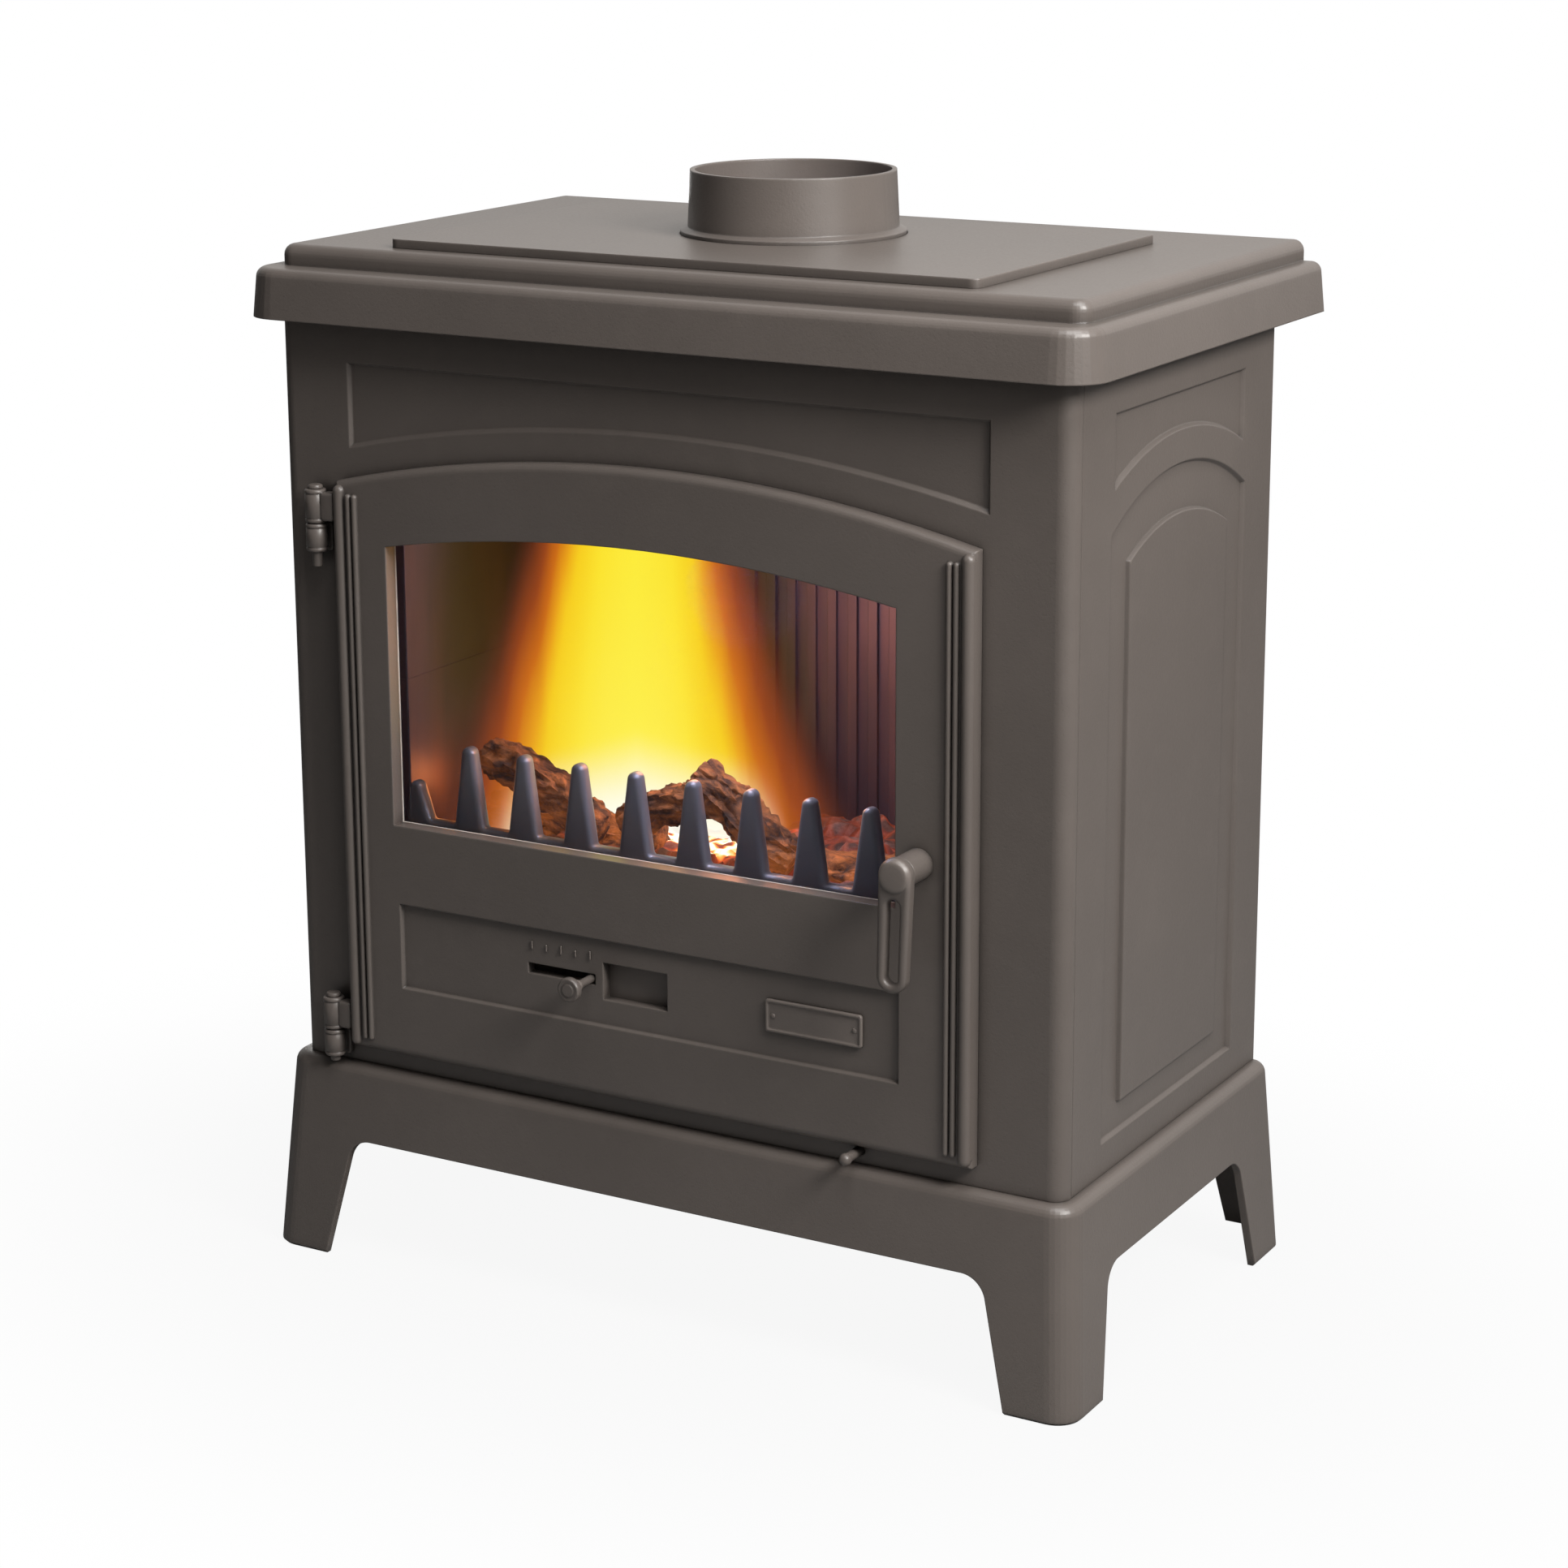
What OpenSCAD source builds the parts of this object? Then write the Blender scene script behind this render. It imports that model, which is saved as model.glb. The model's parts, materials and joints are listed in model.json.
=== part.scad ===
// Cast iron wood-burning stove: a cast stand, a bolted cast body, an arched glass door on two
// lift-off hinges, a sliding air control in the door, a draw-rod damper under it and a flue collar.
// The origin is on the floor, at the centre of the overall outline. X is the width, -Y the front.

/* [Body] */
// Width of the body front at each side of the door
body_stile = 59.5; // [57:0.5:72]
// Height of the body front above the two sides of the door
body_head = 142; // [136:1:170]
// Depth of the body from the front casting to the back panel
body_d = 333; // [320:1:400]
// Wall of the body castings
cast_t = 6; // [5:0.5:7]
// Radius of the front corners of the body
body_corner_r = 12; // [8:0.5:12]
// Distance from the front face to the seam of the side panels
seam_back = 12.5; // [12.5:0.5:20]
// Depth of the cast panel recesses
recess_d = 3; // [1.5:0.25:3.5]
// Width of the sloping edge of a recess
recess_edge = 2; // [1:0.5:5]
// Width of the slope above the arch in the body front
arch_edge = 3; // [1:0.5:8]

/* [Stand] */
// Height of the stand
stand_h = 152; // [130:1:190]
// Step of the stand's shoulder beyond the body, at the front and the sides
stand_step = 11; // [6:0.5:16]
// Step of the stand's shoulder behind the body
stand_back_step = 7; // [0:0.5:14]
// Splay of the legs to the side, from shoulder to floor
splay_side = 9; // [4:0.5:24]
// Splay of the legs to the front
splay_front = 14; // [2:0.5:20]
// Splay of the legs to the back
splay_back = 10; // [2:0.5:20]
// Radius of the stand's front corners
stand_corner_r = 20; // [14:1:32]
// Radius of the stand's back corners
stand_back_r = 12; // [12:1:24]
// Radius of the shoulder's upper edge
shoulder_r = 9; // [4:1:11]
// Clear height under the aprons
apron_clear = 94; // [70:1:105]
// Radius where a leg meets the apron
apron_r = 20; // [8:1:30]
// Width of a front leg at the floor, seen from the front
leg_w = 51; // [40:1:70]
// Width of a back leg at the floor, seen from the back
leg_w_back = 40; // [36:1:70]
// Width of a front leg at the floor, seen from the side
leg_d_front = 52; // [36:1:60]
// Width of a back leg at the floor, seen from the side
leg_d_back = 50.5; // [36:0.5:62]
// Height above the floor of the back flange of the rear legs
rear_flange_lift = 13; // [0:1:30]
// Width of the flange on which the body stands
stand_flange_w = 40; // [30:1:60]

/* [Top plate] */
// Overhang of the top plate at each side
top_side = 20.5; // [14:0.5:30]
// Overhang of the top plate at the front
top_front = 22; // [14:0.5:32]
// Overhang of the top plate at the back
top_back = 43.5; // [10:0.5:60]
// Height of the skirt, from its lower edge to the ledge
skirt_h = 36; // [34:1:48]
// Depth to which the body stands up inside the skirt
skirt_lap = 26; // [20:1:27]
// Outward slope of the skirt over its height
skirt_flare = 3; // [0.5:0.5:5]
// Width of the ledge at the sides
ledge_side = 17; // [14:0.5:30]
// Width of the ledge at the front
ledge_front = 29; // [16:0.5:36]
// Height of the raised middle above the ledge
tier_h = 15; // [10:0.5:20]
// Radius of the front corners of the top plate
top_corner_r = 30; // [22:1:40]
// Radius of the front corners of the raised middle
tier_corner_r = 12; // [10:1:24]
// Radius of the upper edges of the top plate
top_edge_r = 7.5; // [4:0.5:9]
// Wall of the top plate
top_t = 10; // [8:0.5:10]

/* [Flue] */
// Width of the flue plate
flue_plate_w = 474; // [300:1:500]
// Depth of the flue plate
flue_plate_d = 283; // [220:1:290]
// Thickness of the flue plate
flue_plate_t = 6.5; // [4:0.5:8]
// Radius of the flue plate's corners
flue_plate_r = 7; // [2:0.5:16]
// Distance of the flue axis behind the middle of the body
flue_back = 30; // [0:1:45]
// Outside diameter of the flue collar at its mouth
flue_d = 150; // [120:1:160]
// Height of the flue collar above the flue plate
flue_h = 46; // [35:1:80]
// Widening of the collar's radius from the mouth to the foot
flue_taper = 2; // [0.5:0.5:4]
// Wall of the flue collar at its mouth
flue_t = 3.5; // [3:0.5:6]

/* [Door] */
// Width of the door left of the glass opening
stile_left = 44.5; // [42:0.5:58]
// Width of the door right of the glass opening, where the handle stands
stile_right = 58.5; // [56:0.5:70]
// Distance of the door's middle right of the body's middle
door_shift = -5.5; // [-7:0.5:1]
// Height of the door above the two sides of the glass opening
top_rail = 44; // [42:0.5:60]
// Height of the door's lower edge above the stand
door_lift = 16; // [14:1:22]
// Rise of the arched top edge of the door
door_rise = 31.5; // [15:0.5:40]
// Thickness of the door casting
door_t = 11.5; // [10:0.5:13]
// Radius of the door's front edge
door_edge_r = 5.4; // [2:0.2:7]
// Width of the landing on which the door closes
landing_w = 22; // [21:1:24]
// Width of the reeded band at each side of the door
reed_band_w = 22; // [18:1:28]
// Height of the outer reed above the door
reed_h = 4; // [2:0.5:5]
// Distance by which the lower panel's left edge stands inside the glass opening's left edge
panel_in_left = 3; // [0:0.5:6]
// Distance by which the lower panel reaches past the glass opening at the right
panel_out_right = 3; // [0:0.5:6]
// Height of the lower door panel
panel_h = 66; // [60:1:80]
// Height of the lower panel above the door's lower edge
panel_lift = 53; // [45:1:60]

/* [Glass] */
// Width of the glass opening
glass_w = 418; // [386:1:425]
// Height of the glass opening at its sides
glass_h = 209; // [190:1:214]
// Rise of the arched top of the glass opening
glass_rise = 19; // [8:0.5:24]
// Height of the glass opening above the lower panel
glass_lift = 60; // [52:1:66]
// Thickness of the glass
glass_t = 4; // [3:0.5:5]
// Overlap of the glass behind the door on each side
glass_lap = 10; // [7:0.5:11]

/* [Hinges] */
// Distance of the hinge axis outside the door's edge
hinge_out = 18; // [15:0.5:24]
// Distance of the hinge axis in front of the body
hinge_front = 10; // [9.5:0.25:13]
// Outside diameter of the hinge knuckles
knuckle_d = 16; // [13:0.5:17]
// Diameter of the hinge pins
hinge_pin_d = 8; // [6:0.5:9]
// Length of an upper knuckle, on the door
door_knuckle_h = 25; // [18:1:30]
// Length of a lower knuckle, on the body
body_knuckle_h = 21; // [16:1:24]
// Distance of the upper hinge's middle below the foot of the door's arch
upper_hinge_in = 32; // [24:1:70]
// Height of the lower hinge's middle above the door's lower edge
lower_hinge = 11; // [8:0.5:20]

/* [Handle] */
// Distance of the handle's shaft from the door's right edge
handle_in = 40.6; // [39:0.2:42]
// Height of the handle's shaft above the door's lower edge
handle_up = 213.4; // [190:0.2:240]
// Diameter of the handle's shaft
shaft_d = 10; // [8:0.5:12]
// Diameter of the handle's boss on the door
boss_d = 22; // [17:0.5:26]
// Projection of the boss in front of the door
boss_out = 26; // [14:0.5:30]
// Thickness of the handle
handle_t = 10; // [8:0.5:12]
// Diameter of the handle's head
handle_head_d = 23; // [20:0.5:30]
// Distance from the shaft to the middle of the handle's foot
handle_l = 72; // [60:1:90]
// Diameter of the handle's foot
handle_foot_d = 21; // [18:0.5:26]
// Width of the slot in the handle's loop
handle_slot_w = 13.5; // [8:0.5:14]
// Sideways lean of the handle's foot
handle_lean = 1; // [0:0.5:8]

/* [Air controls] */
// Travel of the air slider in the door
slide_travel = 50; // [30:1:54]
// Width of the air window
window_w = 54; // [40:1:56]
// Height of the air window
window_h = 28; // [20:1:32]
// Diameter of the air slider's knob
knob_d = 18; // [12:0.5:20]
// Projection of the air slider's knob in front of the panel
knob_out = 31; // [22:1:34]
// Diameter of the damper's draw rod
rod_d = 7; // [5:0.5:8]
// Distance of the draw rod right of the middle
rod_x = 163; // [150:1:175]
// Travel of the draw rod, which is one damper slot
damper_travel = 24; // [16:1:28]

/* [Firebox] */
// Width of the firebox between the side liners
firebox_w = 524; // [505:1:540]
// Height of the grate floor above the body's lower edge
floor_h = 150; // [140:1:154]
// Height of the liners above the grate floor
liner_h = 296; // [260:1:305]
// Thickness of the liners
liner_t = 10; // [8:0.5:14]
// Distance from the back liner's face to the back of the body
liner_back_in = 48.5; // [44:0.5:66]
// Width of one grate slot
grate_slot = 10; // [6:0.5:12]
// Number of long fingers on the log guard
finger_n = 9; // [7:2:9]
// Pitch of the log guard's fingers
finger_pitch = 47.6; // [44:0.2:48]
// Height of the log guard's fingers above the grate floor
finger_h = 94.5; // [80:0.5:110]
// Width of the ash pan
pan_w = 256; // [200:1:262]
// Distance from the ash pan to the back of the body
pan_back_in = 51.5; // [44:0.5:90]
// Height of the ash pan
pan_h = 86; // [60:1:90]

/* [Hidden] */

$fn = 64;
// Segments of the long flat arches
arch_fn = 720;
// Segments of the corners that a hull rounds
hull_fn = 32;
// Overrun of every cut
over = 1;
// Thin slice that a hull starts from
slice = 0.5;
// Gap between faces of moving and standing pieces
gap = 0.3;
// Radial clearance of a pin that turns in its bore
run_fit = 0.05;
// Clearance of a loose piece in its seat
loose = 0.5;

iron = [0.33, 0.31, 0.29];
dark_iron = [0.20, 0.20, 0.22];
steel = [0.55, 0.55, 0.56];
rope_grey = [0.62, 0.60, 0.56];

// Sizes that follow from the glass: the door round it and the body round the door
door_w = stile_left + glass_w + stile_right;
door_h = panel_lift + panel_h + glass_lift + glass_h + top_rail;
body_w = door_w + 2 * body_stile;
body_h = door_lift + door_h + body_head;

// Faces of the body
front_y = -body_d / 2;
back_y = body_d / 2;
body_z = stand_h;
body_top = stand_h + body_h;
inner_x = body_w / 2 - cast_t;
seam_y = front_y + seam_back;
frame_in_y = front_y + cast_t;

// Plan of the stand
stand_x = body_w / 2 + stand_step;
foot_x = stand_x + splay_side;
stand_front = front_y - stand_step;
foot_front = stand_front - splay_front;
stand_back = back_y + stand_back_step;
foot_back = stand_back + splay_back;
stand_wall = 6;
// Radius of the shoulder's edge inside the casting
shoulder_inner_r = 3;
// Chamfer round the soles of the feet
foot_edge = 2;
// Slopes of the legs' inner edges, as sideways run for each unit of height
leg_slope_share = 0.24;
leg_slope_front_share = 0.2;
leg_slope_back_share = 0.26;

// Levels and plan of the top plate
skirt_z = body_top - skirt_lap;
ledge_z = skirt_z + skirt_h;
tier_z = ledge_z + tier_h;
top_x = body_w / 2 + top_side;
top_front_y = front_y - top_front;
top_back_y = back_y + top_back;
tier_x = top_x - ledge_side;
tier_front_y = top_front_y + ledge_front;
skirt_t = 8;
// Radius of the raised middle's upper edge
tier_edge_step = 0.5;
tier_edge_r = top_edge_r + tier_edge_step;

// Flue
flue_z = tier_z + flue_plate_t;
flue_mouth_z = flue_z + flue_h;
flue_r = flue_d / 2;
flue_foot_r = flue_r + flue_taper;
flue_bore_r = flue_r - flue_t;
flue_flange_w = 5.3;
flue_flange_t = 2.5;
flue_flange_r = flue_foot_r + flue_flange_w;
// Depth of the turned seat in the flue plate that takes the flange
flue_seat_d = 1.5;
flue_spigot_r = flue_foot_r - flue_t / 2;
flue_spigot_fit = 0.2;
lock_ring_w = 12;
tier_under_z = tier_z - top_t;
lock_ring_h = top_t;

// Door
door_x = door_w / 2;
door_z = body_z + door_lift;
door_back = front_y - loose;
door_front = door_back - door_t;
door_spring_z = door_z + door_h;
open_x = door_x - landing_w;
sill_lap = 16;
open_z = door_z + sill_lap;
open_spring_z = door_spring_z - landing_w;
seal_w = 8;
seal_d = 4;
seal_x = door_x - (landing_w - seal_w) / 2;
seal_z = door_z + door_x - seal_x;
seal_spring_z = door_spring_z - door_x + seal_x;
glass_x0 = -door_x + stile_left;
glass_x1 = glass_x0 + glass_w;
panel_x0 = glass_x0 + panel_in_left;
panel_x1 = glass_x1 + panel_out_right;
panel_z = door_z + panel_lift;
panel_top = panel_z + panel_h;
panel_face = door_front + recess_d;
glass_z = panel_top + glass_lift;
glass_spring_z = glass_z + glass_h;
glass_seal_t = 1.5;
panel_edge = 1.5;
glass_face = door_back + glass_seal_t;
glass_back = glass_face + glass_t;

// Reeds: place of each reed's middle from the door's edge, width and height, as shares
reed_place_share = [0.205, 0.59, 0.835];
reed_width_share = [0.41, 0.2, 0.2];
reed_height_share = [1, 0.7, 0.7];
// Distance of the reeds' ends from the ends of the door's sides
reed_stops = [2, 8, 8];

// Chamfer of the side castings along their seam with the front
seam_chamfer = 1.2;

// Front and side ornament of the body
spandrel_in = 60.5;
spandrel_x = body_w / 2 - spandrel_in;
spandrel_top_gap = 30;
// Heights of the front recess's arch above the door's arch, at its crown and at its foot
spandrel_crown_up = 21;
spandrel_foot_up = 23;
side_middle_y = (seam_y + back_y) / 2;
side_half = (back_y - seam_y) / 2;
side_spandrel_in = 51.25;
side_spandrel_y = side_half - side_spandrel_in;
side_spandrel_crown_gap = 57;
side_spandrel_spring_gap = 82;
side_field_in = 47.25;
side_field_y = side_half - side_field_in;
side_field_bottom = 23;
side_field_crown_gap = 80;
side_field_spring_gap = 112;
side_inner_in = 77.25;
side_inner_y = side_half - side_inner_in;
side_inner_bottom = 45;
side_inner_crown_gap = 114;
side_inner_spring_gap = 134;

// Hinges
hinge_x = -door_x - hinge_out;
hinge_y = front_y - hinge_front;
knuckle_r = knuckle_d / 2;
pin_r = hinge_pin_d / 2;
hinge_gap = 0.4;
pin_tail = 12;
pin_tail_low = 5;
pin_head_h = 3;
pin_head_step = 1.5;
pin_head_r = pin_r + pin_head_step;
// Depth to which a knuckle is let into its bracket
knuckle_bite = 0.5;
bracket_w = 20;
hinge_zs = [door_z + lower_hinge, door_spring_z - upper_hinge_in];
pin_tails = [pin_tail_low, pin_tail];

// Handle and latch
handle_x = door_x - handle_in;
handle_z = door_z + handle_up;
shaft_r = shaft_d / 2;
boss_front = door_front - boss_out;
boss_tail = 6;
boss_back = door_back + boss_tail;
handle_swell = 1.5;
handle_head_step = 1;
handle_slot_top = 22;
handle_slot_foot = 72;
boss_tail_d = 14;
arc_steps = 24;
handle_back_y = boss_front - gap;
handle_front_y = handle_back_y - handle_t - handle_swell;
keeper_t = 3;
tongue_t = 4;
tongue_w = 14;
tongue_l = 34;
tongue_hub_r = 9;
tongue_front = frame_in_y + keeper_t + gap;
tongue_back = tongue_front + tongue_t;
keeper_w = 18;
keeper_h = 40;
keeper_screw_r = 2.5;
nut_h = 6;
nut_across = 16;
shaft_tail = 2;

// Air slider
window_in = 176.1;
window_up = 20;
window_x0 = panel_x0 + window_in;
window_z = panel_z + window_up;
slot_h = 8;
slot_z = window_z + window_h / 2;
stem_r = 3;
stem_in = 10.6;
stem_x = window_x0 - stem_in;
slot_play = 1;
slider_t = 2.5;
slider_face = door_back + gap;
slider_lap = 4;
slider_tail = 8;
slider_x0 = stem_x - slider_tail;
slider_x1 = window_x0 + window_w + slider_lap;
slider_h = window_h + 2 * slider_lap;
guide_w = 9;
guide_lip = 3;
guide_t = 2.5;
guide_end = 6;
guide_screw_r = 2;
knob_face_t = 7;
knob_edge = 1;

// Glass clips
clip_w = 16;
clip_t = 2;
clip_reach = 5;
clip_foot = 9;
clip_screw_r = 2.5;
clip_screw_head_r = 4;
clip_screw_head_h = 2.5;
// Heights of the side clips, as shares of the glass height, and places of the lower clips across it
clip_up_share = [0.35, 0.8];
clip_across_share = [0.2, 0.8];

// Name plate, left bare
plate_w = 77;
plate_h = 24;
plate_t = 2;
plate_border = 2.5;
plate_in = 28.9;
plate_up = 20.4;
plate_x0 = panel_x1 - plate_in - plate_w;
plate_z = panel_z + plate_up;
rivet_r = 2;
rivet_h = 0.8;
rivet_in = 6;

// Damper
damper_t = 3;
damper_gap = 0.3;
rod_r = rod_d / 2;
rod_play = 0.5;
damper_w = 56;
damper_slot_w = 10;
damper_slot_l = 40;
damper_pitch = 2 * damper_travel;
damper_in = 106.5;
damper_y0 = front_y + damper_in;
damper_slots = floor((back_y - cast_t - damper_y0) / damper_pitch);
damper_l = damper_slots * damper_pitch;
damper_x = rod_x + 2;
damper_tab_t = 4;
damper_tab_h = 12;
damper_rest_share = 0.75;
damper_knob_d = 9;
knob_steps = 10;
rod_out = 18;
rod_z = body_z + cast_t + loose + rod_r;
plate_top = body_z + cast_t;

// Ash pan on its runners
runner_h = 14;
runner_w = 8;
pan_t = 2;
pan_z = plate_top + runner_h;
pan_in = 31.5;
pan_front = front_y + pan_in;
pan_d = back_y - pan_back_in - pan_front;
pan_rim = 6;
runner_in = 22;
runner_x = pan_w / 2 - runner_in;

// Firebox
floor_z = body_z + floor_h;
floor_t = 6;
shelf_w = 12;
shelf_t = 6;
floor_in = 14;
floor_front = front_y + floor_in;
liner_back = back_y - liner_back_in;
floor_back = liner_back + liner_t + floor_in;
liner_x = firebox_w / 2;
liner_joint = 134;
liner_front_in = 66.5;
liner_front = front_y + liner_front_in;
liner_top = floor_z + liner_h;
rib_d = 3;
rib_w = 8;
rib_pitch = 18;
lug_w = 22;
lug_h = 16;
lug_in = 26;
baffle_t = 7;
baffle_in = 104.5;
baffle_front = front_y + baffle_in;
baffle_lip = 18;
grate_w = 300;
grate_in = 74.5;
grate_back_in = 34;
grate_y0 = front_y + grate_in;
grate_d = liner_back - grate_back_in - grate_y0;
grate_t = 8;
grate_lip = 10;
grate_rebate = 3;
grate_rim = 12;
grate_bar = 12;
guard_in = 42.5;
guard_y = front_y + guard_in;
guard_t = 12;
guard_rail_h = 34;
guard_end = 9;
finger_top_w = 11;
finger_foot_w = 26;
short_finger_share = 0.66;

// Tie rods
tie_r = 4;
tie_in_x = 26;
tie_in_y = 24;
tie_x = body_w / 2 - tie_in_x;
tie_y = body_d / 2 - tie_in_y;
tie_nut_h = 7;
tie_nut_across = 15;
tie_play = 0.5;
tie_end = 3;

// Overall outline, which places the origin
outline_front = min(handle_front_y, top_front_y, foot_front);
outline_back = max(top_back_y, foot_back);
place_y = -(outline_front + outline_back) / 2;

module place() { translate([0, place_y, 0]) children(); }

// Place of the door and of what goes with it, which are drawn about the door's middle
module hung() { place() translate([door_shift, 0, 0]) children(); }

// A 2D outline in X and Z, made solid from the plane y0 backwards by t
module upright(y0, t) {
    translate([0, y0 + t, 0]) rotate([90, 0, 0]) linear_extrude(t) children();
}

// A 2D outline in Y and Z, made solid from the plane x0 to the right by t
module sideways(x0, t) {
    translate([x0, 0, 0]) rotate([90, 0, 90]) linear_extrude(t) children();
}

// A 2D outline in X and Y, made solid from the level z0 upwards by t
module level(z0, t) {
    translate([0, 0, z0]) linear_extrude(t) children();
}

module box(x0, x1, y0, y1, z0, z1) {
    translate([x0, y0, z0]) cube([x1 - x0, y1 - y0, z1 - z0]);
}

module rect(x0, x1, z0, z1) {
    translate([x0, z0]) square([x1 - x0, z1 - z0]);
}

// Radius of a flat arch from its span and rise
function arch_r(span, rise) = (span * span / 4 + rise * rise) / (2 * rise);

// Outline with an arched top: the sides end at spring, the middle at spring + rise
module arched(x0, x1, z0, spring, rise) {
    r = arch_r(x1 - x0, rise);
    intersection() {
        rect(x0, x1, z0, spring + rise);
        union() {
            translate([(x0 + x1) / 2, spring + rise - r]) circle(r, $fn = arch_fn);
            rect(x0, x1, z0, spring);
        }
    }
}

// Ring between an arched outline and the same outline drawn in by w
module arched_ring(x0, x1, z0, spring, rise, w) {
    difference() {
        arched(x0, x1, z0, spring, rise);
        arched(x0 + w, x1 - w, z0 + w, spring - w, rise);
    }
}

// Arched block with shaped edges: rim lists how far the outline is drawn in at each depth Y
module shaped_arch(x0, x1, z0, spring, rise, rim) {
    r = arch_r(x1 - x0, rise);
    last = len(rim) - 1;
    back = [for (i = [last:-1:0]) rim[i]];
    intersection() {
        level(z0 - over, spring + rise - z0 + 2 * over)
            polygon(concat([for (e = rim) [x0 + e[1], e[0]]], [for (e = back) [x1 - e[1], e[0]]]));
        sideways(x0 - over, x1 - x0 + 2 * over)
            polygon(concat([for (e = rim) [e[0], z0 + e[1]]],
                           [[rim[last][0], spring + rise + over], [rim[0][0], spring + rise + over]]));
        union() {
            arch_disc((x0 + x1) / 2, spring + rise - r, r, rim, -1);
            box(x0 - over, x1 + over, rim[0][0], rim[last][0], z0 - over,
                spring - 2 * max([for (e = rim) e[1]]));
        }
    }
}

// Disc whose rim follows the same list, drawn in (way -1) or out (way 1)
module arch_disc(x, z, r, rim, way) {
    last = len(rim) - 1;
    translate([x, 0, z]) rotate([-90, 0, 0]) rotate_extrude($fn = arch_fn)
        polygon(concat([[0, rim[0][0]]], [for (e = rim) [r + way * e[1], e[0]]],
                       [[0, rim[last][0]]]));
}

// Rectangular block with shaped edges
module shaped_rect(x0, x1, z0, z1, rim) {
    last = len(rim) - 1;
    back = [for (i = [last:-1:0]) rim[i]];
    intersection() {
        level(z0 - over, z1 - z0 + 2 * over)
            polygon(concat([for (e = rim) [x0 + e[1], e[0]]], [for (e = back) [x1 - e[1], e[0]]]));
        sideways(x0 - over, x1 - x0 + 2 * over)
            polygon(concat([for (e = rim) [e[0], z0 + e[1]]], [for (e = back) [e[0], z1 - e[1]]]));
    }
}

// Block between a straight top edge and an arched lower edge: rim shapes the straight edges,
// arch_rim the arched one
module shaped_spandrel(x0, x1, spring, rise, top, rim, arch_rim) {
    r = arch_r(x1 - x0, rise);
    last = len(rim) - 1;
    back = [for (i = [last:-1:0]) rim[i]];
    difference() {
        intersection() {
            level(spring - over, top - spring + 2 * over)
                polygon(concat([for (e = rim) [x0 + e[1], e[0]]],
                               [for (e = back) [x1 - e[1], e[0]]]));
            sideways(x0 - over, x1 - x0 + 2 * over)
                polygon(concat([for (e = rim) [e[0], top - e[1]]],
                               [[rim[last][0], spring - over], [rim[0][0], spring - over]]));
        }
        arch_disc((x0 + x1) / 2, spring + rise - r, r, wide_rim(arch_rim), 1);
    }
}

// The same rim run past its first and last depth, for cutting
function wide_rim(rim) = concat([[rim[0][0] - over, rim[0][1]]], rim,
                                [[rim[len(rim) - 1][0] + over, rim[len(rim) - 1][1]]]);

// Rim of a recess of depth d whose edges slope over a width w, cut into a face at y0
function recess_rim(y0, d, w) = [[y0 - over, 0], [y0, 0], [y0 + d, w]];

// Rim of a plate from y0 to y1 with a rounded edge at y0
function round_rim(y0, y1, r) =
    concat([for (a = [90:-18:0]) [y0 + r * (1 - sin(a)), r * (1 - cos(a))]], [[y1, 0]]);

// Plan with rounded front corners and square back corners
module front_rounded(x, y0, y1, r) {
    intersection() {
        rect(-x, x, y0, y1);
        union() {
            rect(-x + r, x - r, y0, y1);
            rect(-x, x, y0 + r, y1);
            for (s = [-1, 1]) translate([s * (x - r), y0 + r]) circle(r);
        }
    }
}

// Solid that stands on a plan, with rounded corners and a rounded, drawn-in top edge
module soft_block(x, y0, y1, z0, z1, r, r_back, edge, flare) {
    hull() for (sx = [-1, 1], c = [[y0 + r, r], [y1 - r_back, r_back]])
        translate([sx * (x - c[1]), c[0], z0]) rotate_extrude($fn = hull_fn)
            polygon(concat([[0, 0], [c[1], 0]],
                           [for (a = [0:15:90]) [c[1] - flare - edge + edge * sin(90 - a),
                                                 z1 - z0 - edge + edge * cos(90 - a)]],
                           [[0, z1 - z0]]));
}

// Opening under an apron: half-widths at the floor, slopes of the two legs, height, corner radius
module apron_outline(a0, a1, slope0, slope1, h, r) {
    angle0 = atan(slope0);
    angle1 = atan(slope1);
    lift0 = h - r + r * sin(angle0);
    lift1 = h - r + r * sin(angle1);
    c0 = a0 + lift0 * slope0 + r * cos(angle0);
    c1 = a1 - lift1 * slope1 - r * cos(angle1);
    polygon([[a0 - over * slope0, -over], [c0 - r * cos(angle0), lift0], [c0, h - r], [c0, h],
             [c1, h], [c1, h - r], [c1 + r * cos(angle1), lift1], [a1 + over * slope1, -over]]);
    translate([c0, h - r]) circle(r);
    translate([c1, h - r]) circle(r);
}

// Block that flares from its shoulder to the floor
module stand_block(x, y0, y1, r, r_back, edge) {
    hull() {
        level(0, slice) corner_plan(x + splay_side - foot_edge, y0 - splay_front + foot_edge,
                                    y1 + splay_back - foot_edge, r - foot_edge,
                                    r_back - foot_edge);
        level(foot_edge, slice) corner_plan(x + splay_side, y0 - splay_front, y1 + splay_back, r,
                                            r_back);
        soft_block(x, y0, y1, stand_h - edge - slice, stand_h, r, r_back, edge, 0);
    }
}

module corner_plan(x, y0, y1, r, r_back) {
    hull() for (sx = [-1, 1], c = [[y0 + r, r], [y1 - r_back, r_back]])
        translate([sx * (x - c[1]), c[0]]) circle(c[1], $fn = hull_fn);
}

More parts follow.
